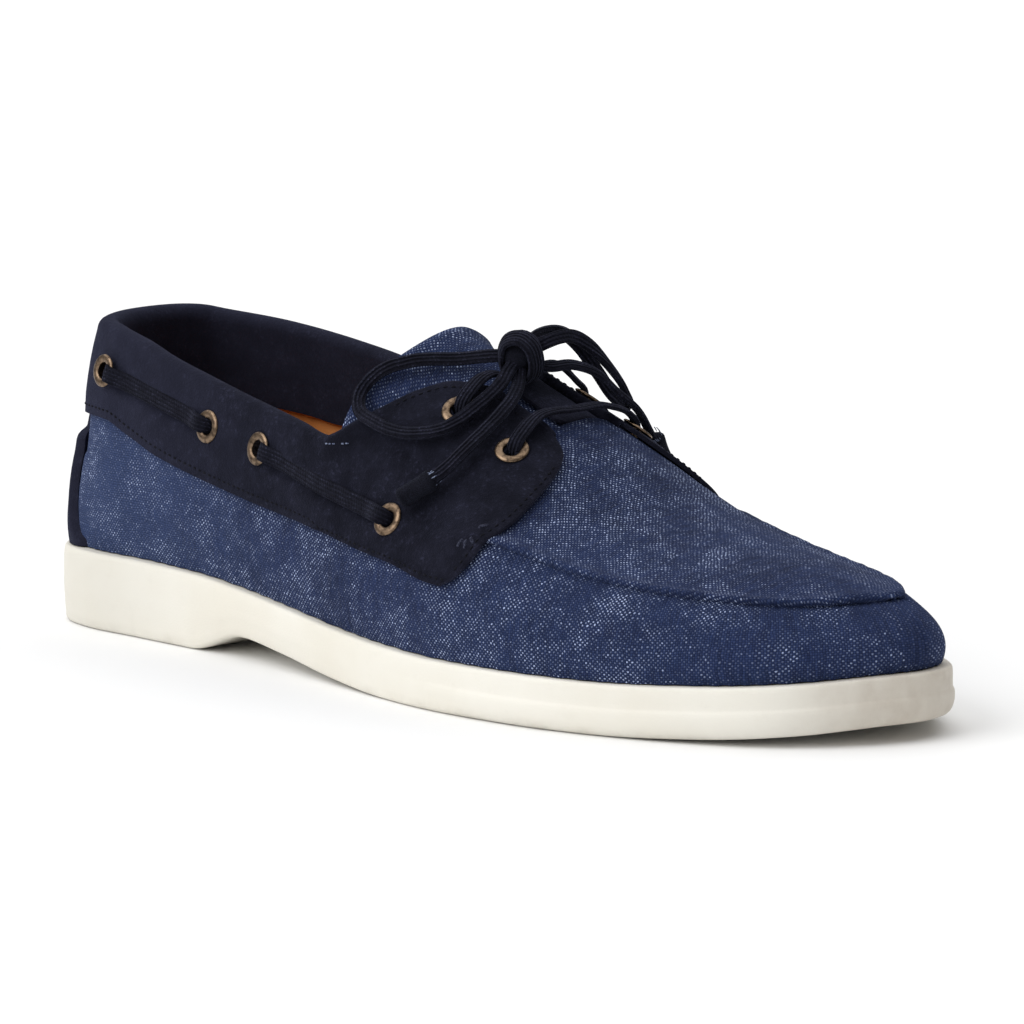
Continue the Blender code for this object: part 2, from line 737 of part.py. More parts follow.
def move_to_parts(made):
    for holder in list(made.users_collection):
        holder.objects.unlink(made)
    parts.objects.link(made)


build_outsole()
build_insole()
build_upper()
build_collar_band()
build_heel_strip()
build_tongue()
for side_name, side in SIDES.items():
    for eyelet in EYELETS:
        build_eyelet(side, side_name, eyelet)
    for bar, (first, last) in LACE_BARS.items():
        build_lace_bar(side, side_name, bar, first, last)
for crossing, (eyelet, middle_points) in CROSSINGS.items():
    build_crossing(crossing, eyelet, middle_points)
build_knot()
for cord, route in ROUTES.items():
    build_cord(cord, route)
for tip, (start, end) in TIPS.items():
    build_tip(tip, start, end)
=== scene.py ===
# %% [markdown]
# # A canvas boat shoe, from last to lace
#
# The real shoe is a sandwich: a moulded rubber sole, a canvas upper pulled over a wooden last,
# a suede collar wrapped round the opening, and one flat lace that runs through eyelets round the
# heel and ends in a bow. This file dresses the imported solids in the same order.
#
# The frame comes first. It brings the solids in at their real size, in metres, with +X to the toe,
# +Y to the inner side of the foot and +Z up.

# %% Load the frame
from math import pi, radians, sin, cos
import bpy
import bmesh
import numpy as np
from mathutils import Matrix, Vector


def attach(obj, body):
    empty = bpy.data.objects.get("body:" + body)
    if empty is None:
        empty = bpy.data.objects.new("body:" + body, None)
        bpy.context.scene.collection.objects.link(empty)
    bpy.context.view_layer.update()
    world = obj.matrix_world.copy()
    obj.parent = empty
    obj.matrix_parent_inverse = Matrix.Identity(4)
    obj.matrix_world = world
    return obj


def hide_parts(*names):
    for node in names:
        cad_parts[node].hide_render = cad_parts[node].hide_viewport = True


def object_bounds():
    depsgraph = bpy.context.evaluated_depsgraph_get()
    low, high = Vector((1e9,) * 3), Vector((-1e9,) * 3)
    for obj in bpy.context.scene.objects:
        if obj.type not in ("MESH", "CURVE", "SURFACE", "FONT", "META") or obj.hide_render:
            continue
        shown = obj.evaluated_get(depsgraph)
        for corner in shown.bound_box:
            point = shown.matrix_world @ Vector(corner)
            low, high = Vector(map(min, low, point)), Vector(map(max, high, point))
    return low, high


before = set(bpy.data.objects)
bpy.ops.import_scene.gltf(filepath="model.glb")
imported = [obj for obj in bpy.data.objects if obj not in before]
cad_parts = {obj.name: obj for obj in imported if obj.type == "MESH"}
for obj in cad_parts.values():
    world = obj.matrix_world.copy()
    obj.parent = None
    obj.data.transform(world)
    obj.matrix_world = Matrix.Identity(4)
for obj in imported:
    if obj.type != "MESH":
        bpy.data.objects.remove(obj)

cad_box = [list(corner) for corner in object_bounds()]
MM = 0.001
LENGTH = cad_box[1][0] - cad_box[0][0]
print("nodes", len(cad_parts), "length", round(LENGTH, 4))

# %% [markdown]
# ## The camera
#
# A long lens from nearly two metres keeps the toe from looking swollen, as a product picture does.
# The direction is set by two angles, and the lens is chosen so that one shoe fills the frame.

# %% Camera
AZIMUTH = radians(45.76)
ELEVATION = radians(9.12)
DISTANCE = 1.92
AIM = Vector((0.0, 0.0025, 0.045))

towards_camera = Vector((sin(AZIMUTH) * cos(ELEVATION), -cos(AZIMUTH) * cos(ELEVATION), sin(ELEVATION)))
bpy.ops.object.camera_add(location=AIM + towards_camera * DISTANCE)
camera = bpy.context.object
camera.rotation_mode = "QUATERNION"
camera.rotation_quaternion = (-towards_camera).to_track_quat("-Z", "Y")
camera.data.lens = 250
camera.data.sensor_width = 36
camera.data.shift_x = 0.023
camera.data.shift_y = -0.006
camera.data.clip_end = 20
bpy.context.scene.camera = camera
print("camera at", [round(value, 3) for value in camera.location])

# %% [markdown]
# ## The last, as a function
#
# Every soft piece lies on the last, so the last is written once, as a function, and all the pieces
# ask it where they are. A place on it has a side, a progress along the shoe and a level: 0 where
# the upper meets the sole, 1 at the moccasin seam, 2 on the ridge. A few rows of measurements and a
# curve that never swings past them are easier to adjust than a sculpted mesh.

# %% Curves through rows of measurements
def table(names, rows):
    """Named columns as arrays."""
    return dict(zip(names.split(), np.array(rows, float).T))


def hermite(xs, ys, slopes, x):
    """Cubic through the rows with the given slopes."""
    x = np.asarray(x, float)
    i = np.clip(np.searchsorted(xs, x, side="right") - 1, 0, len(xs) - 2)
    width = xs[i + 1] - xs[i]
    u = np.clip((x - xs[i]) / width, 0, 1)
    return ((2 * u**3 - 3 * u**2 + 1) * ys[i] + (u**3 - 2 * u**2 + u) * width * slopes[i]
            + (3 * u**2 - 2 * u**3) * ys[i + 1] + (u**3 - u**2) * width * slopes[i + 1])


def steady(xs, ys, x):
    """A curve that never swings past its rows."""
    rise = np.diff(ys) / np.diff(xs)
    slopes = np.zeros(len(xs))
    for i in range(1, len(xs) - 1):
        if rise[i - 1] * rise[i] > 0:
            slopes[i] = 2 * rise[i - 1] * rise[i] / (rise[i - 1] + rise[i])
    return hermite(xs, ys, slopes, x)


def round_curve(xs, ys, x):
    """A fuller curve, for outlines and routes."""
    run = np.diff(xs)
    rise = np.diff(ys) / run
    slopes = np.empty(len(xs))
    slopes[1:-1] = (rise[:-1] * run[1:] + rise[1:] * run[:-1]) / (run[:-1] + run[1:])
    slopes[0] = 1.5 * rise[0] - 0.5 * slopes[1]
    slopes[-1] = 1.5 * rise[-1] - 0.5 * slopes[-2]
    return hermite(xs, ys, slopes, x)


def look_up(rows, name, along):
    """One column of a table at a place along the shoe."""
    return steady(rows["along"], rows[name], along)


def ease(value):
    """0 below 0, 1 above 1, and smooth between."""
    value = np.clip(value, 0, 1)
    return value * value * (3 - 2 * value)


# %% Measurements of the last
LATERAL = -1
MEDIAL = 1
SIDES = {"lateral": LATERAL, "medial": MEDIAL}
BALL_WIDTH = 0.104
AXIS_Y = 0.0025
GAP = 0.0003

OUTLINE = table("along lateral medial", [
    (0.0, 0.0, 0.0),
    (1.0, -15.5, 15.0),
    (3.6, -28.5, 26.0),
    (8.5, -34.5, 32.0),
    (16.5, -35.5, 34.0),
    (29.5, -37.5, 31.0),
    (43.0, -43.5, 28.5),
    (52.5, -49.0, 31.0),
    (62.5, -52.4, 39.5),
    (71.5, -51.0, 46.0),
    (79.5, -45.5, 47.6),
    (87.0, -37.0, 44.0),
    (93.0, -26.5, 37.0),
    (97.0, -13.0, 28.0),
    (99.3, 0.5, 20.0),
    (100.0, 10.5, 10.5),
])
SOLE = table("along top bottom feather", [
    (0.0, 21.8, 0.0, 4.2),
    (15.0, 21.8, 0.0, 3.6),
    (23.5, 21.2, 0.0, 3.0),
    (31.0, 19.5, 6.2, 2.8),
    (37.5, 17.6, 4.4, 2.8),
    (45.5, 15.4, 1.5, 2.8),
    (54.0, 14.2, 0.1, 2.8),
    (60.0, 13.8, 0.0, 2.8),
    (77.5, 13.9, 0.0, 2.8),
    (87.5, 15.0, 1.1, 3.0),
    (95.0, 16.6, 3.0, 3.4),
    (100.0, 18.0, 4.8, 3.6),
])
UPPER = table("along inset_lat inset_med shoulder bulge ridge full", [
    (0.0, 1.2, 1.2, 48.0, 1.2, 139.0, 1.9),
    (8.0, 1.2, 1.2, 48.0, 1.4, 125.0, 1.9),
    (14.0, 0.6, 0.6, 48.0, 1.6, 115.0, 1.9),
    (21.0, 0.0, -0.5, 45.5, 1.6, 110.0, 1.9),
    (34.0, -0.5, -2.5, 43.0, 1.6, 103.0, 1.9),
    (43.0, -0.5, -4.5, 41.5, 1.6, 93.0, 1.9),
    (47.7, 0.5, -5.0, 42.0, 2.0, 89.5, 1.4),
    (52.3, 1.5, -5.0, 42.5, 2.6, 86.0, 1.1),
    (57.5, 4.0, -3.5, 44.0, 3.2, 78.5, 1.0),
    (63.0, 6.0, -0.5, 46.3, 3.8, 69.0, 1.0),
    (68.0, 8.0, 3.5, 44.0, 4.0, 59.5, 1.0),
    (73.0, 9.0, 7.0, 41.0, 4.0, 52.0, 1.0),
    (79.0, 9.2, 9.5, 38.2, 4.2, 47.0, 1.0),
    (85.0, 9.0, 10.5, 36.6, 4.4, 44.0, 1.0),
    (91.0, 8.6, 10.5, 35.6, 4.6, 42.0, 1.0),
    (96.0, 8.8, 10.0, 35.3, 4.8, 39.3, 1.0),
    (100.0, 9.5, 9.5, 35.6, 5.0, 36.0, 1.0),
])
TOPLINE = table("along lateral medial", [
    (0.0, 87.4, 87.4),
    (6.3, 86.2, 85.4),
    (13.0, 83.2, 83.6),
    (17.8, 79.6, 82.0),
    (24.3, 75.6, 80.0),
    (29.3, 72.7, 78.0),
    (34.0, 70.4, 74.6),
    (38.0, 68.4, 71.4),
    (42.3, 66.0, 68.2),
    (43.4, 67.0, 68.8),
    (45.4, 70.5, 71.9),
    (47.7, 74.8, 76.2),
    (50.0, 78.9, 80.4),
    (52.3, 81.0, 83.6),
    (55.0, 79.8, 81.2),
    (57.5, 76.2, 77.1),
    (60.5, 71.6, 72.1),
    (63.5, 67.3, 67.3),
])
THROAT_END = 63.5
RIDGE_SHARE = table("along share", [
    (0.0, 0.50),
    (30.0, 0.50),
    (55.0, 0.54),
    (65.0, 0.58),
    (80.0, 0.56),
    (92.0, 0.52),
    (100.0, 0.50),
])
HEEL_FAN_END = 28.0
HEEL_CENTRE = 0.052


# %% The last's skin
def progress(along):
    """0 at the heel, 1 at the toe, slow at both ends so that they come out round."""
    return np.arccos(np.clip(1 - np.asarray(along, float) / 50, -1, 1)) / pi


def along_at(t):
    return 50 * (1 - np.cos(pi * np.asarray(t, float)))


def outline(side, t):
    name = "lateral" if side == LATERAL else "medial"
    y = round_curve(progress(OUTLINE["along"]), OUTLINE[name], t) * BALL_WIDTH / 100
    return np.stack([along_at(t) * LENGTH / 100, y], -1)


def outline_past_ends(side, t):
    """The outline carried on round the heel and the toe onto the other side."""
    inside = outline(side, np.clip(t, 0, 1))
    beyond = outline(-side, np.where(t < 0, -t, np.where(t > 1, 2 - t, 0.5)))
    return np.where(((t < 0) | (t > 1))[..., None], beyond, inside)


def outward(side, t):
    """Unit vector out of the outline, in plan."""
    step = 1e-4
    t = np.asarray(t, float)
    run = outline_past_ends(side, t + step) - outline_past_ends(side, t - step)
    run /= np.linalg.norm(run, axis=-1, keepdims=True)
    return np.stack([-run[..., 1], run[..., 0]], -1) * side


def inset_outline(side, t, distance):
    return outline(side, t) - outward(side, t) * np.asarray(distance)[..., None]


def with_height(plan, height):
    return np.concatenate([plan, np.broadcast_to(height, plan.shape[:-1])[..., None]], -1)


def stations(side, t):
    """Feather point, shoulder point and ridge point of the section at progress t."""
    along = along_at(t)
    feather_inset = look_up(SOLE, "feather", along) * MM
    feather = with_height(inset_outline(side, t, feather_inset), look_up(SOLE, "top", along) * MM + GAP)
    shoulders = {}
    for name, each in (("inset_lat", LATERAL), ("inset_med", MEDIAL)):
        shoulders[each] = inset_outline(each, t, feather_inset + look_up(UPPER, name, along) * MM)
    share = look_up(RIDGE_SHARE, "share", along)[..., None]
    ridge = shoulders[LATERAL] * (1 - share) + shoulders[MEDIAL] * share
    ridge[..., 0] += HEEL_CENTRE * np.clip(1 - along / HEEL_FAN_END, 0, 1) ** 2
    shoulder = with_height(shoulders[side], look_up(UPPER, "shoulder", along) * MM)
    return feather, shoulder, with_height(ridge, look_up(UPPER, "ridge", along) * MM)


def skin(side, t, level, lift=0.0):
    """Points of the last's skin; lift raises the ridge."""
    t, level = np.broadcast_arrays(np.asarray(t, float), np.asarray(level, float))
    feather, shoulder, ridge = stations(side, t)
    along = along_at(t)
    low = np.clip(level, 0, 1)
    wall = feather + (shoulder - feather) * low[..., None]
    bulge = look_up(UPPER, "bulge", along) * MM * 4 * low * (1 - low)
    wall[..., :2] += outward(side, t) * bulge[..., None]
    turn = np.clip(level - 1, 0, 1) * pi / 2
    top = np.empty_like(wall)
    top[..., :2] = ridge[..., :2] + (shoulder - ridge)[..., :2] * np.cos(turn)[..., None]
    rise = np.sin(turn) ** (2 / look_up(UPPER, "full", along))
    top[..., 2] = shoulder[..., 2] + (ridge[..., 2] - shoulder[..., 2]) * rise + lift
    return np.where((level > 1)[..., None], top, wall) + np.array([-LENGTH / 2, AXIS_Y, 0])


def around(s, level, lift=0.0):
    """The skin all round: s is 0 at the heel, 1 at the toe by the lateral side, and 2 at the heel again."""
    s, level = np.broadcast_arrays(np.mod(np.asarray(s, float), 2), np.asarray(level, float))
    lateral = skin(LATERAL, np.minimum(s, 1), level, lift)
    medial = skin(MEDIAL, np.minimum(2 - s, 1), level, lift)
    return np.where((s <= 1)[..., None], lateral, medial)


def around_normal(s, level, lift=0.0):
    """Unit normal out of the skin."""
    step = 2e-3
    level = np.clip(level, step, 2 - step)
    run = around(s + step, level, lift) - around(s - step, level, lift)
    up = around(s, level + step, lift) - around(s, level - step, lift)
    normal = np.cross(run, up)
    return normal / np.linalg.norm(normal, axis=-1, keepdims=True)


def place(s, level, offset=0.0, lift=0.0):
    """The skin moved out along its normal."""
    s, level = np.broadcast_arrays(np.asarray(s, float), np.asarray(level, float))
    return around(s, level, lift) + around_normal(s, level, lift) * np.asarray(offset)[..., None]


def side_of(s):
    return np.where(np.mod(s, 2) <= 1, LATERAL, MEDIAL)


def t_of(s):
    s = np.mod(s, 2)
    return np.where(s <= 1, s, 2 - s)


def by_side(s, function):
    """A function of side and progress, evaluated all round the shoe."""
    t = t_of(s)
    return np.where(side_of(s) == LATERAL, function(LATERAL, t), function(MEDIAL, t))


def level_at_height(side, t, height):
    """The level at which the skin reaches a height in metres."""
    feather, shoulder, ridge = stations(side, t)
    low = (height - feather[..., 2]) / (shoulder[..., 2] - feather[..., 2])
    share = np.clip((height - shoulder[..., 2]) / (ridge[..., 2] - shoulder[..., 2]), 0, 1)
    high = 1 + np.arcsin(share ** (look_up(UPPER, "full", along_at(t)) / 2)) / (pi / 2)
    return np.where(low < 1, low, high)


def topline_level(side, t):
    """Level of the collar and throat edge."""
    name = "lateral" if side == LATERAL else "medial"
    t = np.minimum(t, progress(THROAT_END))
    return level_at_height(side, t, look_up(TOPLINE, name, along_at(t)) * MM)


heel_back = around(np.array(0.0), np.array(1.0))
print("heel at", heel_back.round(4), "toe at", around(np.array(1.0), np.array(1.0)).round(4))

# %% [markdown]
# ## Sheets
#
# Cloth, suede and lace are all sheets here. A grid primitive has its corners and its UV map ready,
# so it is the start of each of them: the grid is added, its points are moved onto the last, and
# Solidify gives it the thickness of the cloth. The UV map is then written in metres, so that a
# weave has the same thread size on every piece.

# %% Helpers for sheets
def clean_start():
    """Operators act on what is selected, so nothing is."""
    if bpy.context.object and bpy.context.object.mode != "OBJECT":
        bpy.ops.object.mode_set(mode="OBJECT")
    bpy.ops.object.select_all(action="DESELECT")


def only(piece):
    clean_start()
    piece.select_set(True)
    bpy.context.view_layer.objects.active = piece


def sheet_grid(name, points, uv):
    """A grid primitive with its points at points[row, column] and its UV map at uv[row, column]."""
    rows, columns = points.shape[:2]
    clean_start()
    bpy.ops.mesh.primitive_grid_add(x_subdivisions=columns - 1, y_subdivisions=rows - 1, size=1)
    piece = bpy.context.object
    piece.name = name
    mesh = piece.data
    mesh.vertices.foreach_set("co", points.reshape(-1))
    corners = np.empty(len(mesh.loops), int)
    mesh.loops.foreach_get("vertex_index", corners)
    mesh.uv_layers.active.data.foreach_set("uv", uv.reshape(-1, 2)[corners].reshape(-1))
    mesh.update()
    return piece


def reach(points, axis):
    """Distance travelled through points along one axis of the grid."""
    steps = np.linalg.norm(np.diff(points, axis=axis), axis=-1)
    start = np.zeros_like(np.take(steps, [0], axis=axis))
    return np.concatenate([start, np.cumsum(steps, axis=axis)], axis=axis)


def cloth_uv(points, middle=None):
    """Metres along a middle row, and metres up from the first row."""
    middle = points.shape[0] // 2 if middle is None else middle
    u = np.broadcast_to(reach(points, 1)[middle], points.shape[:2])
    return np.stack([u, reach(points, 0)], -1)


def weld(piece, distance=2e-5):
    only(piece)
    bpy.ops.object.mode_set(mode="EDIT")
    bpy.ops.mesh.select_all(action="SELECT")
    bpy.ops.mesh.remove_doubles(threshold=distance)
    bpy.ops.object.mode_set(mode="OBJECT")


def face_out(piece):
    only(piece)
    bpy.ops.object.mode_set(mode="EDIT")
    bpy.ops.mesh.select_all(action="SELECT")
    bpy.ops.mesh.normals_make_consistent(inside=False)
    bpy.ops.object.mode_set(mode="OBJECT")


def turn_faces(piece):
    only(piece)
    bpy.ops.object.mode_set(mode="EDIT")
    bpy.ops.mesh.select_all(action="SELECT")
    bpy.ops.mesh.flip_normals()
    bpy.ops.object.mode_set(mode="OBJECT")


def join(name, pieces, distance=2e-5):
    """Several sheets made one mesh, welded where they meet."""
    only(pieces[0])
    for piece in pieces:
        piece.select_set(True)
    bpy.ops.object.join()
    joined = bpy.context.object
    joined.name = name
    weld(joined, distance)
    return joined


def thicken(piece, thickness, offset=-1.0, rim_material=0, back_material=0):
    """Give a sheet its thickness; offset -1 grows it inwards."""
    only(piece)
    wall = piece.modifiers.new("thickness", "SOLIDIFY")
    wall.thickness = thickness
    wall.offset = offset
    wall.use_quality_normals = True
    wall.material_offset = back_material
    wall.material_offset_rim = rim_material
    bpy.ops.object.modifier_apply(modifier=wall.name)


def smooth(piece, angle=40):
    only(piece)
    bpy.ops.object.shade_smooth_by_angle(angle=radians(angle))


def faces_of(piece):
    return len(piece.data.polygons)


# %% [markdown]
# ## Shader maths
#
# A finish is a tree of nodes. Written out link by link it can't be read, so a socket is wrapped in
# a small class: sums on it add Math nodes, and every other node comes from one method.

# %% A socket that can be added and multiplied, and the one method that makes nodes
class Value:
    """A node's output. Sums on it add Math nodes."""

    def __init__(self, finish, out):
        self.finish = finish
        self.out = out

    def __add__(self, other):
        return self.finish.maths("ADD", self, other)

    def __sub__(self, other):
        return self.finish.maths("SUBTRACT", self, other)

    def __mul__(self, other):
        return self.finish.maths("MULTIPLY", self, other)

    def __truediv__(self, other):
        return self.finish.maths("DIVIDE", self, other)

    def __pow__(self, other):
        return self.finish.maths("POWER", self, other)

    def __rsub__(self, other):
        return self.finish.maths("SUBTRACT", other, self)

    __radd__ = __add__
    __rmul__ = __mul__

    def sine(self):
        return self.finish.maths("SINE", self)

    def floor(self):
        return self.finish.maths("FLOOR", self)

    def size(self):
        return self.finish.maths("ABSOLUTE", self)

    def band(self, low, high):
        """0 below low, 1 above high, smooth between."""
        return self.finish.node("MapRange", {"interpolation_type": "SMOOTHSTEP"},
                                {"Value": self, "From Min": low, "From Max": high})


class Finish:
    """A material being made."""

    def __init__(self, name):
        self.material = bpy.data.materials.new(name)
        self.material.use_nodes = True
        self.nodes = self.material.node_tree.nodes
        self.links = self.material.node_tree.links
        self.nodes.clear()

    def node(self, kind, settings=None, values=None, output=0):
        """One node: its settings first, then the values or links of its sockets."""
        made = self.nodes.new("ShaderNode" + kind)
        for key, setting in (settings or {}).items():
            setattr(made, key, setting)
        for key, value in (values or {}).items():
            if isinstance(value, Value):
                self.links.new(value.out, made.inputs[key])
            else:
                made.inputs[key].default_value = value
        return Value(self, made.outputs[output]) if len(made.outputs) else None

    def maths(self, operation, *values):
        return self.node("Math", {"operation": operation}, dict(enumerate(values)))

    def mix(self, mask, under, over):
        """One colour over another, where the mask is 1."""
        under, over = (each if isinstance(each, Value) else (*each, 1) for each in (under, over))
        return self.node("Mix", {"data_type": "RGBA"}, {0: mask, 6: under, 7: over}, 2)

    def where(self, output="Object"):
        return self.node("TexCoord", output=output)

    def parts(self, vector):
        """A vector's x, y and z."""
        return [self.node("SeparateXYZ", values={0: vector}, output=axis) for axis in range(3)]

    def vector(self, x, y, z=0.0):
        return self.node("CombineXYZ", values={0: x, 1: y, 2: z})

    def stretch(self, vector, scale):
        return self.node("VectorMath", {"operation": "MULTIPLY"}, {0: vector, 1: scale})

    def noise(self, vector, scale, detail=2.0, roughness=0.5, distortion=0.0):
        return self.node("TexNoise", values={"Vector": vector, "Scale": scale, "Detail": detail,
                                             "Roughness": roughness, "Distortion": distortion})

    def bump(self, height, distance, strength=1.0, under=None):
        values = {"Height": height, "Distance": distance, "Strength": strength}
        if under:
            values["Normal"] = under
        return self.node("Bump", values=values)

    def shade(self, **values):
        """The surface's shader; names are its sockets', with underscores for spaces."""
        named = {key.replace("_", " "): value for key, value in values.items()}
        for key, value in named.items():
            if isinstance(value, tuple):
                named[key] = (*value, 1)
        shader = self.node("BsdfPrincipled", values=named)
        self.node("OutputMaterial", values={"Surface": shader})
        print("finish", self.material.name, len(self.nodes), "nodes")
        return self.material


# %% [markdown]
# ## Canvas
#
# The upper is a plain weave of blue yarn one way and paler, uneven yarn the other. Each crossing
# shows one yarn or the other, so the pale yarn is seen as dots in a chequerboard. Two sine waves
# multiplied give exactly that board, in metres on the piece's own UV map, and noise that follows
# single yarns makes some of them thick and some thin. The same waves raise the yarns as a bump.

# %% Canvas finish
YARN = 0.00064


def canvas_finish(name, dark, light, fleck, heel_light):
    cloth = Finish(name)
    uv = cloth.where("UV")
    u, v, _ = cloth.parts(uv)
    wander = cloth.noise(uv, 330, 2) - 0.5
    drift = cloth.noise(uv, 70, 2) - 0.5
    across = (v / YARN) + wander * 1.5 + drift * 2.4
    along = (u / YARN) + wander * 1.5 - drift * 2.8
    board = (across * pi).sine() * (along * pi).sine()
    weft_slub = cloth.noise(cloth.vector(u * 260, across.floor() * 3.7), 1, 2)
    warp_slub = cloth.noise(cloth.vector(along.floor() * 5.3, v * 190), 1, 2)
    patch = cloth.noise(cloth.where(), 85, 4, 0.65)
    cloud = cloth.noise(cloth.where(), 24, 3, 0.6)
    grain = cloth.noise(uv, 2100, 3, 0.6)
    here = cloth.vector(along.floor(), across.floor())
    dot = cloth.node("TexWhiteNoise", {"noise_dimensions": "2D"}, {"Vector": here})
    chance = 0.24 + dot * 0.42 + dot * dot * dot * 1.1
    length, _, _ = cloth.parts(cloth.where())
    # Painted light: towards the heel end the canvas is lighter and has fewer flecks, where the key light
    # falls.
    lit_heel = length.band(-0.02, -0.11)
    # Painted shade: fewer pale flecks towards the toe end leave it darker.
    shaded_toe = length.band(0.09, 0.145)
    share = (0.20 + patch.band(0.40, 0.66) * 0.95) * (1 - lit_heel * 0.25) * (1 - shaded_toe * 0.45)
    size = board + (grain - 0.5) * 0.9
    pale = size.band(0.0, 1.0) * chance * (0.35 + weft_slub.band(0.35, 0.70)) * share
    base = cloth.mix(warp_slub.band(0.3, 0.7) * 0.6 + cloud.band(0.35, 0.65) * 0.4, dark, light)
    base = cloth.mix(patch.band(0.35, 0.70) * 0.35 + grain.band(0.45, 0.75) * 0.30, base, light)
    # Painted light: the heel end is mixed towards a lighter blue.
    base = cloth.mix(lit_heel * (0.22 + grain.band(0.35, 0.65) * 0.45), base, heel_light)
    gap = board.size().band(0.40, 0.0) * 0.45
    base = cloth.mix(gap, base, tuple(0.3 * value for value in dark))
    colour = cloth.mix(pale, base, fleck)
    height = board.size() ** 0.6 + pale * 0.5 + grain * 0.5 + weft_slub * 0.4
    normal = cloth.bump(height, 0.00017, 0.9)
    return cloth.shade(Base_Color=colour, Roughness=0.9, Normal=normal, Specular_IOR_Level=0.12,
                       Sheen_Weight=0.04, Sheen_Roughness=0.5, Sheen_Tint=(0.5, 0.6, 1.0))


# The last colour is the painted light at the heel end of the canvas.
canvas = canvas_finish("blue_canvas", (0.0070, 0.0118, 0.038), (0.0205, 0.0350, 0.102), (0.42, 0.50, 0.74),
                       (0.052, 0.080, 0.182))

# %% [markdown]
# ## Suede, leather, rubber, brass and lace
#
# Suede is a nap of short fibres: it is nearly black from most sides, lighter where the fibres are
# brushed another way, and it glows a little at its edges, which is what sheen does. The other
# finishes are simpler: a fine grain, a slow change of colour, and the wear of something handled.
# Some colour is painted light: the suede is painted lighter at the heel end, the sole is painted
# darker at the heel and browner at the toe with painted shade and reflected light, and the lace's
# ribs carry painted highlights.

# %% Suede and leather finishes
def suede_finish(name, dark, light, sheen):
    hide = Finish(name)
    spot = hide.where()
    nap = hide.noise(spot, 2400, 3, 0.7)
    brushed = hide.noise(hide.stretch(spot, (1.0, 1.0, 1.6)), 38, 4, 0.65, 0.5)
    cloud = hide.noise(spot, 190, 5, 0.7)
    speck = hide.noise(spot, 1000, 3, 0.6)
    scuff = hide.noise(hide.stretch(spot, (1.0, 1.0, 2.5)), 95, 3, 0.7, 1.0)
    mask = brushed.band(0.36, 0.64) * 0.40 + cloud.band(0.38, 0.66) * 0.40 + nap.band(0.35, 0.75) * 0.20
    colour = hide.mix(mask, dark, light)
    rubbed = (speck.band(0.50, 0.72) * cloud.band(0.44, 0.62) * 0.75
              + scuff.band(0.62, 0.74) * nap.band(0.4, 0.7) * 0.5)
    colour = hide.mix(rubbed, colour, tuple(2.3 * value for value in light))
    length, _, _ = hide.parts(spot)
    # Painted light: the suede is lighter towards the heel end, where the key light falls.
    colour = hide.mix(length.band(-0.03, -0.12) * 0.30, colour, tuple(3 * value for value in light))
    height = nap + speck * 0.7 + cloud * 1.1
    return hide.shade(Base_Color=colour, Roughness=0.97, Normal=hide.bump(height, 0.00030, 0.8),
                      Sheen_Weight=sheen, Sheen_Roughness=0.5, Sheen_Tint=(0.40, 0.45, 0.80),
                      Specular_IOR_Level=0.08)


suede = suede_finish("navy_suede", (0.0024, 0.0025, 0.0052), (0.0105, 0.0110, 0.0200), 0.08)
suede_edge = suede_finish("navy_suede_cut_edge", (0.006, 0.006, 0.011), (0.018, 0.019, 0.032), 0.12)


def leather_finish(name, dark, light):
    hide = Finish(name)
    spot = hide.where()
    cells = hide.node("TexVoronoi", {"feature": "DISTANCE_TO_EDGE"}, {"Vector": spot, "Scale": 900.0})
    tone = hide.noise(spot, 45, 4, 0.6)
    grain = hide.noise(spot, 2200, 2)
    colour = hide.mix(tone.band(0.3, 0.7), dark, light)
    height = cells.band(0.0, 0.25) + grain * 0.4
    return hide.shade(Base_Color=colour, Roughness=tone * 0.2 + 0.42, Normal=hide.bump(height, 0.0001, 0.5),
                      Specular_IOR_Level=0.4)


tan_lining = leather_finish("tan_leather", (0.47, 0.185, 0.050), (0.66, 0.290, 0.092))


# %% Rubber and brass finishes
def rubber_finish(name):
    rubber = Finish(name)
    spot = rubber.where()
    length, _, height = rubber.parts(spot)
    tone = rubber.noise(spot, 22, 3, 0.55)
    grain = rubber.noise(spot, 1900, 2, 0.6)
    mottle = rubber.noise(spot, 160, 3, 0.6)
    # Darker, browner patches towards the bottom of the sole.
    low_patches = height.band(0.004, 0.0) * mottle.band(0.3, 0.7)
    colour = rubber.mix(tone.band(0.3, 0.7), (0.790, 0.755, 0.665), (0.840, 0.815, 0.740))
    colour = rubber.mix(mottle.band(0.55, 0.8) * 0.15, colour, (0.68, 0.645, 0.56))
    colour = rubber.mix(low_patches * 0.25, colour, (0.42, 0.38, 0.31))
    # Painted shade: the sole is darker towards the heel end.
    colour = rubber.mix(length.band(-0.06, -0.13) * 0.50, colour, (0.62, 0.60, 0.54))
    # Painted shade and warm painted reflection: the toe end of the sole is browner, in patches.
    colour = rubber.mix(length.band(0.128, 0.152) * (0.30 + mottle * 0.45), colour, (0.44, 0.37, 0.30))
    normal = rubber.bump(grain + mottle * 0.7, 0.00012, 0.55)
    return rubber.shade(Base_Color=colour, Roughness=mottle * 0.15 + 0.52, Normal=normal,
                        Specular_IOR_Level=0.35)


rubber = rubber_finish("white_rubber")


def brass_finish(name):
    brass = Finish(name)
    spot = brass.where()
    tarnish = brass.noise(spot, 700, 3, 0.6)
    scratch = brass.noise(brass.stretch(spot, (1.0, 6.0, 1.0)), 900, 2)
    colour = brass.mix(tarnish.band(0.40, 0.68), (0.215, 0.150, 0.100), (0.062, 0.042, 0.029))
    return brass.shade(Base_Color=colour, Metallic=1.0, Roughness=tarnish * 0.35 + 0.18,
                       Normal=brass.bump(scratch + tarnish, 0.00006, 0.5))


brass = brass_finish("antique_brass")


# %% Lace and thread finishes
LACE_RIB = 0.00105


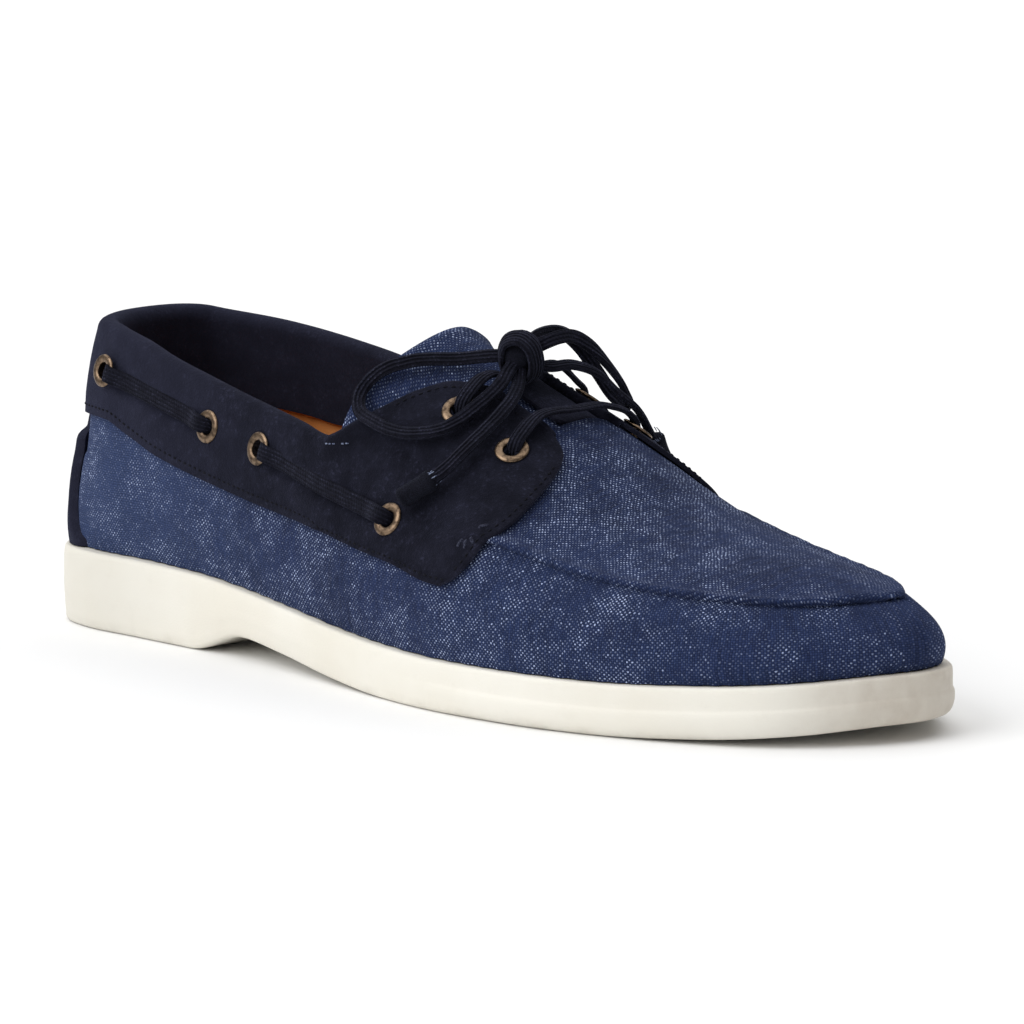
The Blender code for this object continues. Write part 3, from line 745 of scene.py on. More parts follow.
def lace_finish(name, dark, light):
    lace = Finish(name)
    uv = lace.where("UV")
    u, v, _ = lace.parts(uv)
    wander = lace.noise(uv, 260, 2) - 0.5
    rib = ((v / LACE_RIB + wander * 0.5) * (2 * pi)).sine()
    pick = ((u / 0.0011 + v / 0.0021 + wander * 2.0) * (2 * pi)).sine()
    fuzz = lace.noise(lace.where(), 1700, 4, 0.65)
    wear = lace.noise(lace.where(), 260, 4, 0.65)
    # Painted highlights: the crests of the ribs are lighter, and the glints on them lighter still.
    glint = rib.band(0.2, 1.0) * pick.band(-0.3, 0.9) * wear.band(0.44, 0.64) * fuzz.band(0.42, 0.62)
    mask = rib.band(-0.7, 0.9) * 0.35 + fuzz.band(0.38, 0.70) * 0.35 + wear.band(0.38, 0.68) * 0.30
    colour = lace.mix(glint * 0.9, lace.mix(mask, dark, light), tuple(4.0 * value for value in light))
    normal = lace.bump(rib * 0.8 + pick * 0.15 + fuzz * 1.2 + wear, 0.00030, 0.85)
    return lace.shade(Base_Color=colour, Roughness=0.95, Normal=normal, Specular_IOR_Level=0.08,
                      Sheen_Weight=0.07, Sheen_Roughness=0.4, Sheen_Tint=(0.45, 0.5, 0.8))


lace = lace_finish("navy_lace", (0.0030, 0.0031, 0.0058), (0.0140, 0.0146, 0.0255))


def thread_finish(name, dark, light):
    thread = Finish(name)
    fibre = thread.noise(thread.where(), 2200, 2)
    return thread.shade(Base_Color=thread.mix(fibre.band(0.35, 0.65), dark, light), Roughness=0.8,
                        Normal=thread.bump(fibre, 0.0001, 0.5), Specular_IOR_Level=0.1)


navy_thread = thread_finish("navy_thread", (0.0020, 0.0021, 0.0042), (0.0075, 0.0080, 0.0140))
slate_thread = thread_finish("slate_thread", (0.010, 0.011, 0.021), (0.045, 0.049, 0.078))
pale_thread = thread_finish("pale_thread", (0.07, 0.085, 0.15), (0.24, 0.28, 0.40))

# %% [markdown]
# ## The canvas body
#
# On the real shoe one strip of canvas runs round the foot and is lasted under at the bottom. Ahead
# of the throat it ends in the seam with the plug, and behind it in the collar. It is a grid whose
# columns go round the shoe and whose rows climb the wall, with the tan lining as its back.

# %% Canvas body
def top_of_wall(s):
    """The level where the canvas ends: the collar behind, the seam in front."""
    def edge(side, t):
        along = np.minimum(along_at(t), THROAT_END)
        name = "lateral" if side == LATERAL else "medial"
        crest = look_up(TOPLINE, name, along) * MM - 0.0032
        collar = level_at_height(side, np.minimum(t, progress(THROAT_END)), crest)
        collar = collar - 0.05 * np.clip((along_at(t) - 43.4) / 6, 0, 1)
        front = ease((along_at(t) - 61.5) / 2.0)
        return collar * (1 - front) + front
    return by_side(s, edge)


def pulled_threads(s, level):
    """Soft troughs and ridges of the canvas, in metres out of the last."""
    along = along_at(t_of(s))
    near_seam = np.exp(-(((1 - level) / 0.16) ** 2)) * ease((along - 60) / 6)
    travel = s * 330
    pucker = np.sin(travel * 1.9 + 1.3 * np.sin(travel * 0.31)) * np.sin(travel * 0.47 + 0.6)
    relief = 0.22 * MM * pucker * near_seam
    near_sole = np.exp(-((level / 0.12) ** 2))
    relief += 0.20 * MM * np.sin(travel * 1.13 + 2 * np.sin(travel * 0.19)) * near_sole
    relief += (0.25 * MM * np.sin(along * 0.55 + 3.0 * level + 0.7 * side_of(s))
               * ease(level * 2) * ease((1.5 - level)))
    near_heel = 1 - ease(along / 20)
    return relief - near_heel * (1.1 * ease(level * 3) + 1.2 * ease((level - 0.95) / 0.12)) * MM


LINING_FRONT = 0.02


def build_canvas_body():
    s = np.linspace(0, 2, 561)
    rows = np.concatenate([np.linspace(-0.03, 0.9, 24), np.linspace(0.925, 1.0, 6)])
    top = top_of_wall(s)
    extra = np.linspace(0, 1, 23)[1:]
    level = np.concatenate([np.broadcast_to(rows[:, None], (len(rows), len(s))),
                            1 + (top[None, :] - 1) * extra[:, None]])
    s_all = np.broadcast_to(s, level.shape)
    along = along_at(t_of(s_all))
    ahead = ease((along - 62.5) / 1.5)
    curl = np.zeros_like(level)
    turned = np.concatenate([np.zeros(len(rows)), extra])
    curl -= ahead * (turned[:, None] * 2.2 * MM)
    curl -= ahead * 0.55 * MM * np.exp(-(((1 - level) / 0.05) ** 2))
    points = place(s_all, level, pulled_threads(s_all, level) + curl)
    points[..., 2] -= ahead * 1.2 * MM * turned[:, None]
    piece = sheet_grid("canvas_body", points, cloth_uv(points))
    piece.data.materials.append(canvas)
    piece.data.materials.append(tan_lining)
    weld(piece)
    thicken(piece, 0.0018, -1, back_material=1)
    for face in piece.data.polygons:
        if face.center.x > LINING_FRONT:
            face.material_index = 0
    smooth(piece, 60)
    return piece


canvas_body = build_canvas_body()
print("canvas body", faces_of(canvas_body), "faces")

# %% [markdown]
# ## The plug
#
# The plug is the canvas island on top of the toes. Its edge is folded under and hand sewn to the
# body, which makes the raised lip of a moccasin. Rings that start on the seam and close in on a
# spine put the rows of faces where the lip needs them, all the way round the toe.

# %% Height of the forefoot over a place on the floor plan
def over_plan(x, y):
    """The place all round and the level of the skin over (x, y), by halving an interval of progress."""
    low = np.full(x.shape, 0.2)
    high = np.full(x.shape, 1.0)
    flat = np.stack([x, y], -1)

    def ends(t):
        return skin(LATERAL, t, 1.0)[..., :2], skin(MEDIAL, t, 1.0)[..., :2]

    for _ in range(40):
        middle = (low + high) / 2
        start, end = ends(middle)
        across = end - start
        to_point = flat - start
        ahead = across[..., 0] * to_point[..., 1] - across[..., 1] * to_point[..., 0] < 0
        low = np.where(ahead, middle, low)
        high = np.where(ahead, high, middle)
    t = (low + high) / 2
    start, end = ends(t)
    width = np.linalg.norm(end - start, axis=-1)
    share = np.einsum("...i,...i->...", flat - start, end - start) / np.maximum(width, 1e-9) ** 2
    ridge_share = look_up(RIDGE_SHARE, "share", along_at(t))
    reach_out = np.where(share < ridge_share, (ridge_share - share) / ridge_share,
                         (share - ridge_share) / (1 - ridge_share))
    reach_out = np.clip(reach_out, 0, 1)
    level = 1 + np.arccos(reach_out) / (pi / 2)
    s = np.where(share < ridge_share, t, 2 - t)
    return s, level


# %% Plug
PLUG_REAR = 61.2
FAN_X = 0.124
LIP = table("inwards rise", [
    (0.00, -3.2),
    (-0.05, -2.3),
    (-0.05, -1.5),
    (-0.05, -0.8),
    (-0.10, -0.1),
    (-0.10, 0.42),
    (0.02, 0.86),
    (0.26, 1.18),
    (0.60, 1.36),
    (1.05, 1.40),
    (1.55, 1.22),
    (2.1, 0.84),
    (2.8, 0.44),
    (3.7, 0.15),
    (4.8, 0.0),
])


def build_plug():
    rear = progress(PLUG_REAR)
    s = np.linspace(rear, 2 - rear, 641)
    seam = around(s, 1.0)
    t = t_of(s)
    middle_y = around(t, 2.0)[:, 1]
    spine = np.stack([FAN_X - np.log1p(np.exp((FAN_X - seam[:, 0]) / 0.004)) * 0.004, middle_y], -1)
    spine[:, 1] = np.interp(spine[:, 0], around(np.linspace(rear, 1, 200), 2.0)[:, 0],
                            around(np.linspace(rear, 1, 200), 2.0)[:, 1])
    inward = spine - seam[:, :2]
    reach_in = np.linalg.norm(inward, axis=-1)
    inward /= reach_in[:, None]
    lip = LIP["inwards"] * MM
    rest = np.linspace(0, 1, 21)[1:] ** 0.9
    distance = np.concatenate([np.broadcast_to(lip[:, None], (len(lip), len(s))),
                               lip[-1] + (reach_in[None, :] - lip[-1]) * rest[:, None]])
    plan = seam[None, :, :2] + inward[None] * distance[..., None]
    inside = np.maximum(distance, 0.05 * MM)
    probe = seam[None, :, :2] + inward[None] * inside[..., None]
    s_over, level = over_plan(probe[..., 0], probe[..., 1])
    base = around(s_over, level)
    normal = around_normal(s_over, np.maximum(level, 1.02))
    travel = reach(seam[None], 1)[0] / MM
    pucker = np.sin(travel * 2 * pi / 4.2 + 0.9 * np.sin(travel * 0.21))
    gather = np.sin(travel * 2 * pi / 9.3 + 1.4 * np.sin(travel * 0.11))
    rise = np.concatenate([LIP["rise"], np.zeros(len(rest))])[:, None] * MM
    on_lip = np.exp(-(((distance / MM - 1.2) / 1.2) ** 2))
    beyond = np.exp(-(((distance / MM - 4.5) / 3.0) ** 2))
    rise = rise + (0.035 * pucker + 0.06 * gather)[None] * on_lip * MM + 0.05 * gather[None] * beyond * MM
    hidden = 1 - ease((along_at(t) - 63.6) / 1.6)
    rise = rise - hidden[None] * (rise + 0.5 * MM) * np.exp(-((distance / (14 * MM)) ** 2))
    points = base + normal * rise[..., None]
    points[..., :2] += plan - probe
    run = reach(around(np.linspace(rear, 1, 400), 2.0)[None], 1)[0]
    run_x = around(np.linspace(rear, 1, 400), 2.0)[:, 0]
    u = np.interp(points[..., 0], run_x, run)
    line_y = np.interp(points[..., 0], run_x, around(np.linspace(rear, 1, 400), 2.0)[:, 1])
    aside = points[..., 1] - line_y
    ridge_z = around(np.linspace(rear, 1, 400), 2.0)[:, 2]
    sag = np.maximum(np.interp(points[..., 0], run_x, ridge_z) - base[..., 2], 0)
    ratio = np.clip(sag / np.maximum(np.abs(aside), 1e-3), 0, 0.9)
    v = aside * (1 + ratio**2 * 2 / 3 - ratio**4 * 2 / 5)
    travelled = np.hypot(np.diff(LIP["inwards"]), np.diff(LIP["rise"]))[::-1].cumsum()[::-1]
    extra = np.append(travelled, 0) - (LIP["inwards"][-1] - LIP["inwards"])
    over_lip = np.concatenate([extra * 1.4, np.zeros(len(rest))])[:, None] * MM
    u = u - inward[None, :, 0] * over_lip
    v = v - inward[None, :, 1] * over_lip
    piece = sheet_grid("plug", points, np.stack([u, v], -1))
    piece.data.materials.append(canvas)
    weld(piece, 5e-5)
    thicken(piece, 0.0012, -1)
    smooth(piece, 60)
    return piece


plug = build_plug()
print("plug", faces_of(plug), "faces")

# %% [markdown]
# ## The suede collar
#
# A band of suede wraps the opening: it starts at a cut edge on the canvas, climbs the outside,
# rolls over the top and hangs inside as a facing. At the throat its ends are the two flaps that
# carry the eyelets. One grid follows that path as a profile at every place round the collar, and
# Solidify turns it into a hide 1.2 mm thick whose cut edges are then bevelled.

# %% The band's edges
BAND_EDGE = table("along height", [
    (0.0, 59.0),
    (6.0, 59.4),
    (10.0, 59.2),
    (14.0, 56.0),
    (18.4, 52.0),
    (26.8, 47.1),
    (33.8, 44.3),
    (41.1, 42.0),
    (48.3, 38.9),
    (54.3, 36.8),
    (60.5, 33.7),
    (63.5, 33.4),
])
FLAP_FRONT = table("up along", [
    (0.00, 61.8),
    (0.05, 63.0),
    (0.20, 64.6),
    (0.44, 65.6),
    (0.62, 66.1),
    (0.76, 65.8),
    (0.88, 64.9),
    (0.95, 63.6),
    (0.985, 62.6),
    (1.00, 61.9),
])
BAND_GAP = 0.0006
SUEDE = 0.0012
SUNK_AT_HEEL = 0.0026
ROLL_AT_COLLAR = 0.00205
ROLL_AT_FLAP = 0.00085
ROLL_AT_HEEL = 0.0027
FACING_EDGE = table("along height", [
    (0.0, 58.0),
    (11.0, 57.6),
    (16.0, 56.4),
    (21.0, 54.6),
    (43.0, 54.4),
])


def ends_of_band(up):
    """Progress at which the band ends, on both sides, at a share of the way up."""
    return progress(steady(FLAP_FRONT["up"], FLAP_FRONT["along"], up))


def band_level(s, up):
    """Level on the skin at a share of the way from the band's lower edge to the topline."""
    def level(side, t):
        low = level_at_height(side, t, look_up(BAND_EDGE, "height", along_at(t)) * MM)
        return low + (topline_level(side, t) - low) * up
    return by_side(s, level)


# %% Eyelet places
EYELETS = {
    "side_1": (9.6, 72.4),
    "side_2": (25.9, 62.2),
    "side_3": (33.7, 59.0),
    "side_4": (53.0, 46.9),
    "throat_1": (54.5, 73.8),
    "throat_2": (60.9, 65.0),
}
INNER_EYELETS = {
    "throat_1": (57.9, 73.8),
    "throat_2": (61.6, 66.0),
}
LACE_BARS = {"rear": ("side_1", "side_2"), "front": ("side_3", "side_4")}
SUEDE_TOP = BAND_GAP + SUEDE


def eyelet_place(side, name):
    """Percent along and height in mm of an eyelet."""
    return INNER_EYELETS.get(name, EYELETS[name]) if side == MEDIAL else EYELETS[name]


def on_band(side, along, height, offset=0.0):
    """A point over the band, and the normal there; along in percent, height in mm, offset in metres."""
    t = progress(along)
    level = level_at_height(side, t, np.asarray(height, float) * MM)
    s = t if side == LATERAL else 2 - t
    s, level = np.broadcast_arrays(s, level)
    return place(s, level, offset), around_normal(s, level)


# %% Relief and holes of the suede
def lace_channel(s, up):
    """1 where the lace runs between two side eyelets and presses the hide in."""
    along = along_at(t_of(s))
    height = around(s, band_level(s, up))[..., 2] / MM
    press = np.zeros_like(height)
    for first, last in LACE_BARS.values():
        (a0, h0), (a1, h1) = EYELETS[first], EYELETS[last]
        aside = height - h0 - (h1 - h0) * np.clip((along - a0) / (a1 - a0), 0, 1)
        inside = ease((along - a0 - 0.9) / 1.6) * ease((a1 - 0.9 - along) / 1.6)
        press = np.maximum(press, inside * (1 - ease((np.abs(aside) - 2.1) / 1.3)))
    return press


def suede_relief(s, up):
    """Slow swells of the hide, the channels of the lace, and the flap's swelling over the seam."""
    along = along_at(t_of(s))
    swell = 0.25 * MM * np.sin(along * 0.5 + 2.2 * up + side_of(s)) * ease(up * 4) * ease((1 - up) * 4)
    near_front = np.exp(-(((along - 61) / 3.5) ** 2)) * np.exp(-(((up - 0.32) / 0.2) ** 2))
    return swell + 0.5 * MM * near_front - CHANNEL_DEPTH * lace_channel(s, up)


CHANNEL_DEPTH = 0.0009
HOLE_RADIUS = 0.0024


def open_holes(sheet):
    """Deletes the sheet's faces at each eyelet and draws the edge of each opening onto a circle."""
    mesh = sheet.data
    spots = np.empty(len(mesh.vertices) * 3)
    mesh.vertices.foreach_get("co", spots)
    spots = spots.reshape(-1, 3)
    corners = np.array([face.vertices[:] for face in mesh.polygons])
    gone = np.zeros(len(corners), bool)
    for side in SIDES.values():
        for name in EYELETS:
            middle, normal = on_band(side, *eyelet_place(side, name), SUEDE_TOP - SUEDE / 2)
            away = spots - middle
            depth = away @ normal
            flat = away - depth[:, None] * normal
            distance = np.linalg.norm(flat, axis=1)
            outer = np.abs(depth) < SUEDE
            hole = (distance[corners].mean(axis=1) < HOLE_RADIUS) & outer[corners].all(axis=1)
            rim = np.intersect1d(corners[hole], corners[~hole])
            spots[rim] += flat[rim] * (HOLE_RADIUS / distance[rim] - 1)[:, None]
            gone |= hole
    mesh.vertices.foreach_set("co", spots.reshape(-1))
    only(sheet)
    bpy.ops.object.mode_set(mode="EDIT")
    bpy.ops.mesh.select_mode(type="FACE")
    bpy.ops.mesh.select_all(action="DESELECT")
    bpy.ops.object.mode_set(mode="OBJECT")
    mesh.polygons.foreach_set("select", gone)
    bpy.ops.object.mode_set(mode="EDIT")
    bpy.ops.mesh.delete(type="FACE")
    bpy.ops.mesh.select_mode(type="VERT")
    bpy.ops.object.mode_set(mode="OBJECT")
    return int(gone.sum())


# %% Collar band
def at_heel(s):
    """1 at the back seam, 0 from a fifth of the shoe's length on."""
    return 1 - ease(along_at(t_of(s)) / 20)


def band_offset(s):
    """The middle of the hide, out from the last; it is let into the padding at the heel."""
    return BAND_GAP + SUEDE / 2 - SUNK_AT_HEEL * at_heel(s)


def band_roll(s):
    """Where the band rolls over the topline: the roll's centre, its axes and its radius."""
    along = along_at(t_of(s))
    flap = ease((along - 43.0) / 4.0)
    radius = ROLL_AT_COLLAR * (1 - flap) + ROLL_AT_FLAP * flap + (ROLL_AT_HEEL - ROLL_AT_COLLAR) * at_heel(s)
    outside = band_offset(s)
    crown = band_level(s, 1.0)
    crest = around(s, crown)
    normal = around_normal(s, np.minimum(crown, 1.97))
    step = 4e-3
    rise = around(s, crown) - around(s, crown - step)
    rise /= np.linalg.norm(rise, axis=-1, keepdims=True)
    centre = crest + normal * (outside - radius)[..., None] - rise * (radius + SUEDE / 2)[..., None]
    return centre, normal, rise, radius, outside


FLAP_STARTS = 43.0
LEAST_FACING = 0.004
FLAP_FACING = 0.005


def build_collar_band():
    w = np.concatenate([-np.linspace(1, 0, 241), np.linspace(0, 1, 241)[1:]])
    up_rows = np.concatenate([[0.0, 0.012, 0.03], np.linspace(0.06, 1.0, 26)])
    turns = np.linspace(0, pi, 11)[1:]
    hang = np.linspace(0, 1, 12)[1:]
    rows = []
    for up in up_rows:
        s = w * ends_of_band(up)
        centre, normal, rise, radius, outside = band_roll(s)
        crown = band_level(s, 1.0)
        low = band_level(s, 0.0)
        span = np.linalg.norm(around(s, crown) - around(s, low), axis=-1)
        stop = 1 - (radius + SUEDE / 2) / np.maximum(span, 1e-4)
        level = band_level(s, up * stop)
        points = place(s, level, outside + suede_relief(s, up))
        if up == 1.0:
            points = centre + normal * radius[..., None]
        rows.append(points)
    s = w * ends_of_band(1.0)
    centre, normal, rise, radius, outside = band_roll(s)
    for turn in turns:
        rolled = normal * (radius * cos(turn))[..., None]
        rows.append(centre + rolled + rise * (radius * sin(turn))[..., None])
    last = rows[-1]
    along = along_at(t_of(s))
    flap = ease((along - FLAP_STARTS) / 4.0)
    drop = np.maximum(last[..., 2] - look_up(FACING_EDGE, "height", along) * MM, LEAST_FACING)
    drop = drop * (1 - flap) + FLAP_FACING * flap
    start_level = band_level(s, 1.0)
    for share in hang:
        down = last[..., 2] - drop * share
        level = by_side(s, lambda side, t: level_at_height(side, t, down))
        inner = place(s, np.minimum(level, start_level), outside - 2 * radius)
        inner[..., 2] = down
        straight = last - rise * (drop * share)[..., None]
        rows.append(inner * (1 - flap)[..., None] + straight * flap[..., None])
    points = np.stack(rows)
    piece = sheet_grid("collar_suede", points, cloth_uv(points, 10))
    print("faces taken out for the eyelets:", open_holes(piece))
    piece.data.materials.append(suede)
    piece.data.materials.append(suede_edge)
    thicken(piece, SUEDE, 0, rim_material=1)
    only(piece)
    edge = piece.modifiers.new("cut edge", "BEVEL")
    edge.width = 0.00035
    edge.segments = 2
    edge.limit_method = "ANGLE"
    edge.angle_limit = radians(55)
    bpy.ops.object.modifier_apply(modifier=edge.name)
    smooth(piece, 50)
    return piece


INNER_FLAP = table("up start end", [
    (0.00, 53.6, 63.2),
    (0.35, 54.0, 63.0),
    (0.70, 54.8, 62.4),
    (0.90, 55.8, 61.4),
    (1.00, 57.0, 60.2),
])
INNER_FLAP_FOOT = 1.80
INNER_FLAP_REACH = 0.10


def build_inner_flap():
    """The inner flap's edge, which lies across the ridge and shuts the throat under the bow."""
    up = np.linspace(0, 1, 45)[:, None]
    start = steady(INNER_FLAP["up"], INNER_FLAP["start"], up)
    end = steady(INNER_FLAP["up"], INNER_FLAP["end"], up)
    t = progress(start + (end - start) * np.linspace(0, 1, 81)[None])
    climb = INNER_FLAP_FOOT + (2 - INNER_FLAP_FOOT + INNER_FLAP_REACH) * up + 0 * t
    across = climb > 2
    s = np.where(across, t, 2 - t)
    level = np.minimum(np.where(across, 4 - climb, climb), 1.99)
    under = 0.0004 + 0.0008 * np.exp(-((up / 0.25) ** 2)) + 0 * t
    points = place(s, level, -under)
    blurred = points.copy()
    for _ in range(6):
        blurred[1:-1] = (blurred[:-2] + blurred[1:-1] * 2 + blurred[2:]) / 4
    piece = sheet_grid("flap_suede", blurred, cloth_uv(blurred))
    piece.data.materials.append(suede)
    piece.data.materials.append(suede_edge)
    if piece.data.polygons[len(piece.data.polygons) // 2].normal.z < 0:
        turn_faces(piece)
    thicken(piece, SUEDE, -1, rim_material=1)
    smooth(piece, 50)
    return piece


collar = build_collar_band()
inner_flap = build_inner_flap()
print("collar", faces_of(collar), "faces, inner flap", faces_of(inner_flap))

# %% [markdown]
# ## Heel strip
#
# A short strip of the same suede covers the back seam of the canvas. Its proud lower part ends in a
# rounded top, and a thinner tail of it goes on up under the collar.

# %% Heel strip
STRIP_EDGE = table("height along", [
    (22.8, 7.5),
    (27.0, 5.2),
    (33.0, 3.8),
    (44.0, 3.3),
    (50.5, 3.0),
    (52.2, 2.5),
    (53.0, 1.9),
    (59.5, 1.7),
])


def build_heel_strip():
    height = np.array([22.4, 24, 26, 28, 30, 33, 36, 39, 42, 45, 47, 49,
                       50.5, 51.6, 52.4, 53.0, 53.6, 55, 57, 60.5])
    stand = np.interp(height, [22.4, 30, 49, 51.6, 53.0, 53.6, 57, 59, 60.5],
                      [2.5, 2.7, 3.0, 2.8, 2.3, 1.7, 1.4, 0.2, -1.5]) * MM
    edge = progress(steady(STRIP_EDGE["height"], STRIP_EDGE["along"], height))
    w = np.linspace(-1, 1, 49)
    s = w[None] * edge[:, None]
    level = by_side(s, lambda side, t: level_at_height(side, t, height[:, None] * MM))
    crown = np.sqrt(np.clip(1 - np.abs(w) ** 14, 0, 1))[None]
    edge_offset = np.minimum(stand, -0.7 * MM)[:, None]
    points = place(s, level, edge_offset + (stand[:, None] - edge_offset) * crown)
    piece = sheet_grid("heel_suede", points, cloth_uv(points))
    piece.data.materials.append(suede)
    thicken(piece, 0.0011, -1)
    smooth(piece, 60)
    return piece


heel_strip = build_heel_strip()

# %% [markdown]
# ## Tongue
#
# The tongue is a soft leaf of the same canvas. It starts under the plug, is pressed down by the
# lace, and its free end stands up with a turned hem.

# %% Tongue
TONGUE_LIFT = table("along lift", [
    (40.0, 6.5),
    (46.7, 6.0),
    (51.0, 3.0),
    (55.0, 0.5),
    (58.0, 0.0),
    (70.0, 0.0),
])
TONGUE_REAR_RIDGE = 47.3
TONGUE_REAR_SIDE = 42.8
TONGUE_FRONT = 66.0


def build_tongue():
    share = np.linspace(-1, 1, 121)
    level = 2 - np.abs(share) * 0.76
    inward = 1 - np.abs(share)
    rear = TONGUE_REAR_SIDE + (TONGUE_REAR_RIDGE - TONGUE_REAR_SIDE) * np.sin(inward * pi / 2) ** 2
    reach_on = np.linspace(0, 1, 90) ** 1.15
    t = progress(rear[:, None] + (TONGUE_FRONT - rear[:, None]) * reach_on[None])
    side = np.where(share < 0, LATERAL, MEDIAL)[:, None] + 0 * t
    s = np.where(side < 0, t, 2 - t)
    levels = level[:, None] + 0 * t
    edge = by_side(s, topline_level)
    inside = np.clip((levels - edge) / (2 - edge), 0, 1)
    lift = look_up(TONGUE_LIFT, "lift", along_at(t)) * MM * np.sin(inside * pi / 2)
    fuller = 4.0 * MM * np.exp(-(((share - 0.54) / 0.22) ** 2))
    lift += fuller[:, None] * ease((51 - along_at(t)) / 5)
    points = place(s, np.minimum(levels, 1.985), -(0.0020 + 2 * GAP), lift)
    normal = around_normal(s, np.minimum(levels, 1.985), lift)
    ridge_join = np.exp(-((share / 0.05) ** 2))[:, None, None]
    blurred = points.copy()
    blurred[1:-1] = (points[:-2] + points[1:-1] + points[2:]) / 3
    points = points * (1 - ridge_join) + blurred * ridge_join
    run = reach(points, 1)
    hem = np.exp(-(((run - 0.0020) / 0.0018) ** 2)) * 0.45 * MM
    wave = 0.35 * MM * np.sin(share * 7)[:, None] * np.exp(-((run / 0.02) ** 2))
    points = points + normal * (hem + wave)[..., None]
    uv = np.stack([points[..., 0] * 1.12, reach(points, 0)], -1)
    piece = sheet_grid("tongue_canvas", points, uv)
    piece.data.materials.append(canvas)
    face_up = piece.data.polygons[len(piece.data.polygons) // 2].normal.z > 0
    if not face_up:
        turn_faces(piece)
    thicken(piece, 0.0018, -1)
    smooth(piece, 60)
    return piece


tongue = build_tongue()

# %% [markdown]
# ## Sole
#
# One moulding of rubber: a wall that leans out a little below a parting line, a rounded lower edge,
# a low heel with a sloping breast, and a narrow ledge on which the upper sits. It is one profile
# carried round the outline, closed below and above by rings that shrink towards a spine.

# %% Sole
SOLE_SPINE = (-0.115, 0.118)

# Rows climb the wall: millimetres out, share of the height and millimetres up, at the heel and at the toe.
SOLE_WALL = [
    (-3.4, 0.0, 0.0, -5.0, 0.0, 0.0),
    (-2.4, 0.0, 0.0, -3.6, 0.0, 0.0),
    (-1.7, 0.0, 0.10, -2.6, 0.0, 0.12),
    (-1.15, 0.0, 0.32, -1.75, 0.0, 0.50),
    (-0.80, 0.0, 0.70, -1.05, 0.0, 1.15),
    (-0.55, 0.0, 1.30, -0.50, 0.0, 2.0),
    (-0.38, 0.12, 1.3, -0.12, 0.08, 2.1),
    (-0.22, 0.25, 0.9, 0.10, 0.22, 1.2),
    (-0.10, 0.36, 0.5, 0.16, 0.34, 0.5),
    (-0.05, 0.44, 0.0, 0.16, 0.44, 0.0),
    (-0.02, 0.50, 0.0, 0.06, 0.50, 0.0),
    (-0.02, 0.54, 0.0, -0.12, 0.535, 0.0),
    (-0.03, 0.57, 0.0, -0.36, 0.56, 0.0),
    (-0.03, 0.60, 0.0, -0.42, 0.585, 0.0),
    (-0.03, 0.68, 0.0, -0.42, 0.66, 0.0),
    (-0.06, 0.78, 0.0, -0.44, 0.78, 0.0),
    (-0.12, 0.87, 0.0, -0.48, 0.88, 0.0),
    (-0.24, 0.93, 0.0, -0.56, 0.94, 0.0),
    (-0.45, 0.972, 0.0, -0.72, 0.975, 0.0),
    (-0.80, 0.992, 0.0, -1.0, 0.992, 0.0),
    (-1.3, 1.0, 0.0, -1.4, 1.0, 0.0),
    (-2.0, 1.0, 0.0, -2.0, 1.0, 0.0),
    (-3.6, 1.0, 0.0, -3.6, 1.0, 0.0),
    (-5.0, 1.0, 0.0, -5.6, 1.0, 0.0),
]


def sole_ring(s, out, height):
    """One ring of the sole: metres out from the outline, and its height."""
    def plan(side, t):
        return outline(side, t) + outward(side, t) * out_of(t)[..., None]

    def out_of(t):
        return np.broadcast_to(out, t.shape)

    t = t_of(s)
    lateral = plan(LATERAL, t)
    medial = plan(MEDIAL, t)
    flat = np.where((side_of(s) == LATERAL)[..., None], lateral, medial)
    return np.concatenate([flat + [-LENGTH / 2, AXIS_Y], height[..., None]], -1)


def build_sole():
    s = np.linspace(0, 2, 641)
    along = along_at(t_of(s))
    bottom = look_up(SOLE, "bottom", along) * MM
    top = look_up(SOLE, "top", along) * MM
    tall = top - bottom
    forward = ease((along - 56) / 12)
    rows = []
    for back_out, back_share, back_lift, fore_out, fore_share, fore_lift in SOLE_WALL:
        out = back_out + (fore_out - back_out) * forward
        share = back_share + (fore_share - back_share) * forward
        lift = back_lift + (fore_lift - back_lift) * forward
        rows.append(sole_ring(s, out * MM, bottom + tall * share + lift * MM))
    rows = np.stack(rows)

    def close(ring, towards_bottom):
        spine_x = np.clip(ring[:, 0], *SOLE_SPINE)
        centre_y = np.interp(spine_x, *middle_line(ring))
        spine = np.stack([spine_x, centre_y], -1)
        steps = []
        for share in np.linspace(0, 1, 13)[1:]:
            flat = ring[:, :2] * (1 - share) + spine * share
            x = flat[:, 0] + LENGTH / 2
            name = "bottom" if towards_bottom else "top"
            steps.append(np.concatenate([flat, (look_up(SOLE, name, x / LENGTH * 100) * MM)[:, None]], -1))
        return steps

    below = close(rows[0], True)[::-1]
    above = close(rows[-1], False)
    points = np.concatenate([np.stack(below), rows, np.stack(above)])
    piece = sheet_grid("rubber_sole", points, cloth_uv(points, 25))
    piece.data.materials.append(rubber)
    weld(piece, 3e-5)
    face_out(piece)
    smooth(piece, 35)
    return piece


def middle_line(ring):
    """The middle of a closed ring, as y over x."""
    half = len(ring) // 2
    x = np.linspace(ring[:, 0].min() + 1e-4, ring[:, 0].max() - 1e-4, 80)
    one = np.interp(x, ring[:half + 1, 0], ring[:half + 1, 1])
    other = np.interp(x, ring[half:, 0][::-1], ring[half:, 1][::-1])
    return x, (one + other) / 2


sole = build_sole()
print("sole", faces_of(sole), "faces")

# %% [markdown]
# ## Insole
#
# The foot rests on a thin board covered in the same tan leather as the lining. It is dished a
# little at the heel and its edge is rounded, which one set of rings round the outline gives.

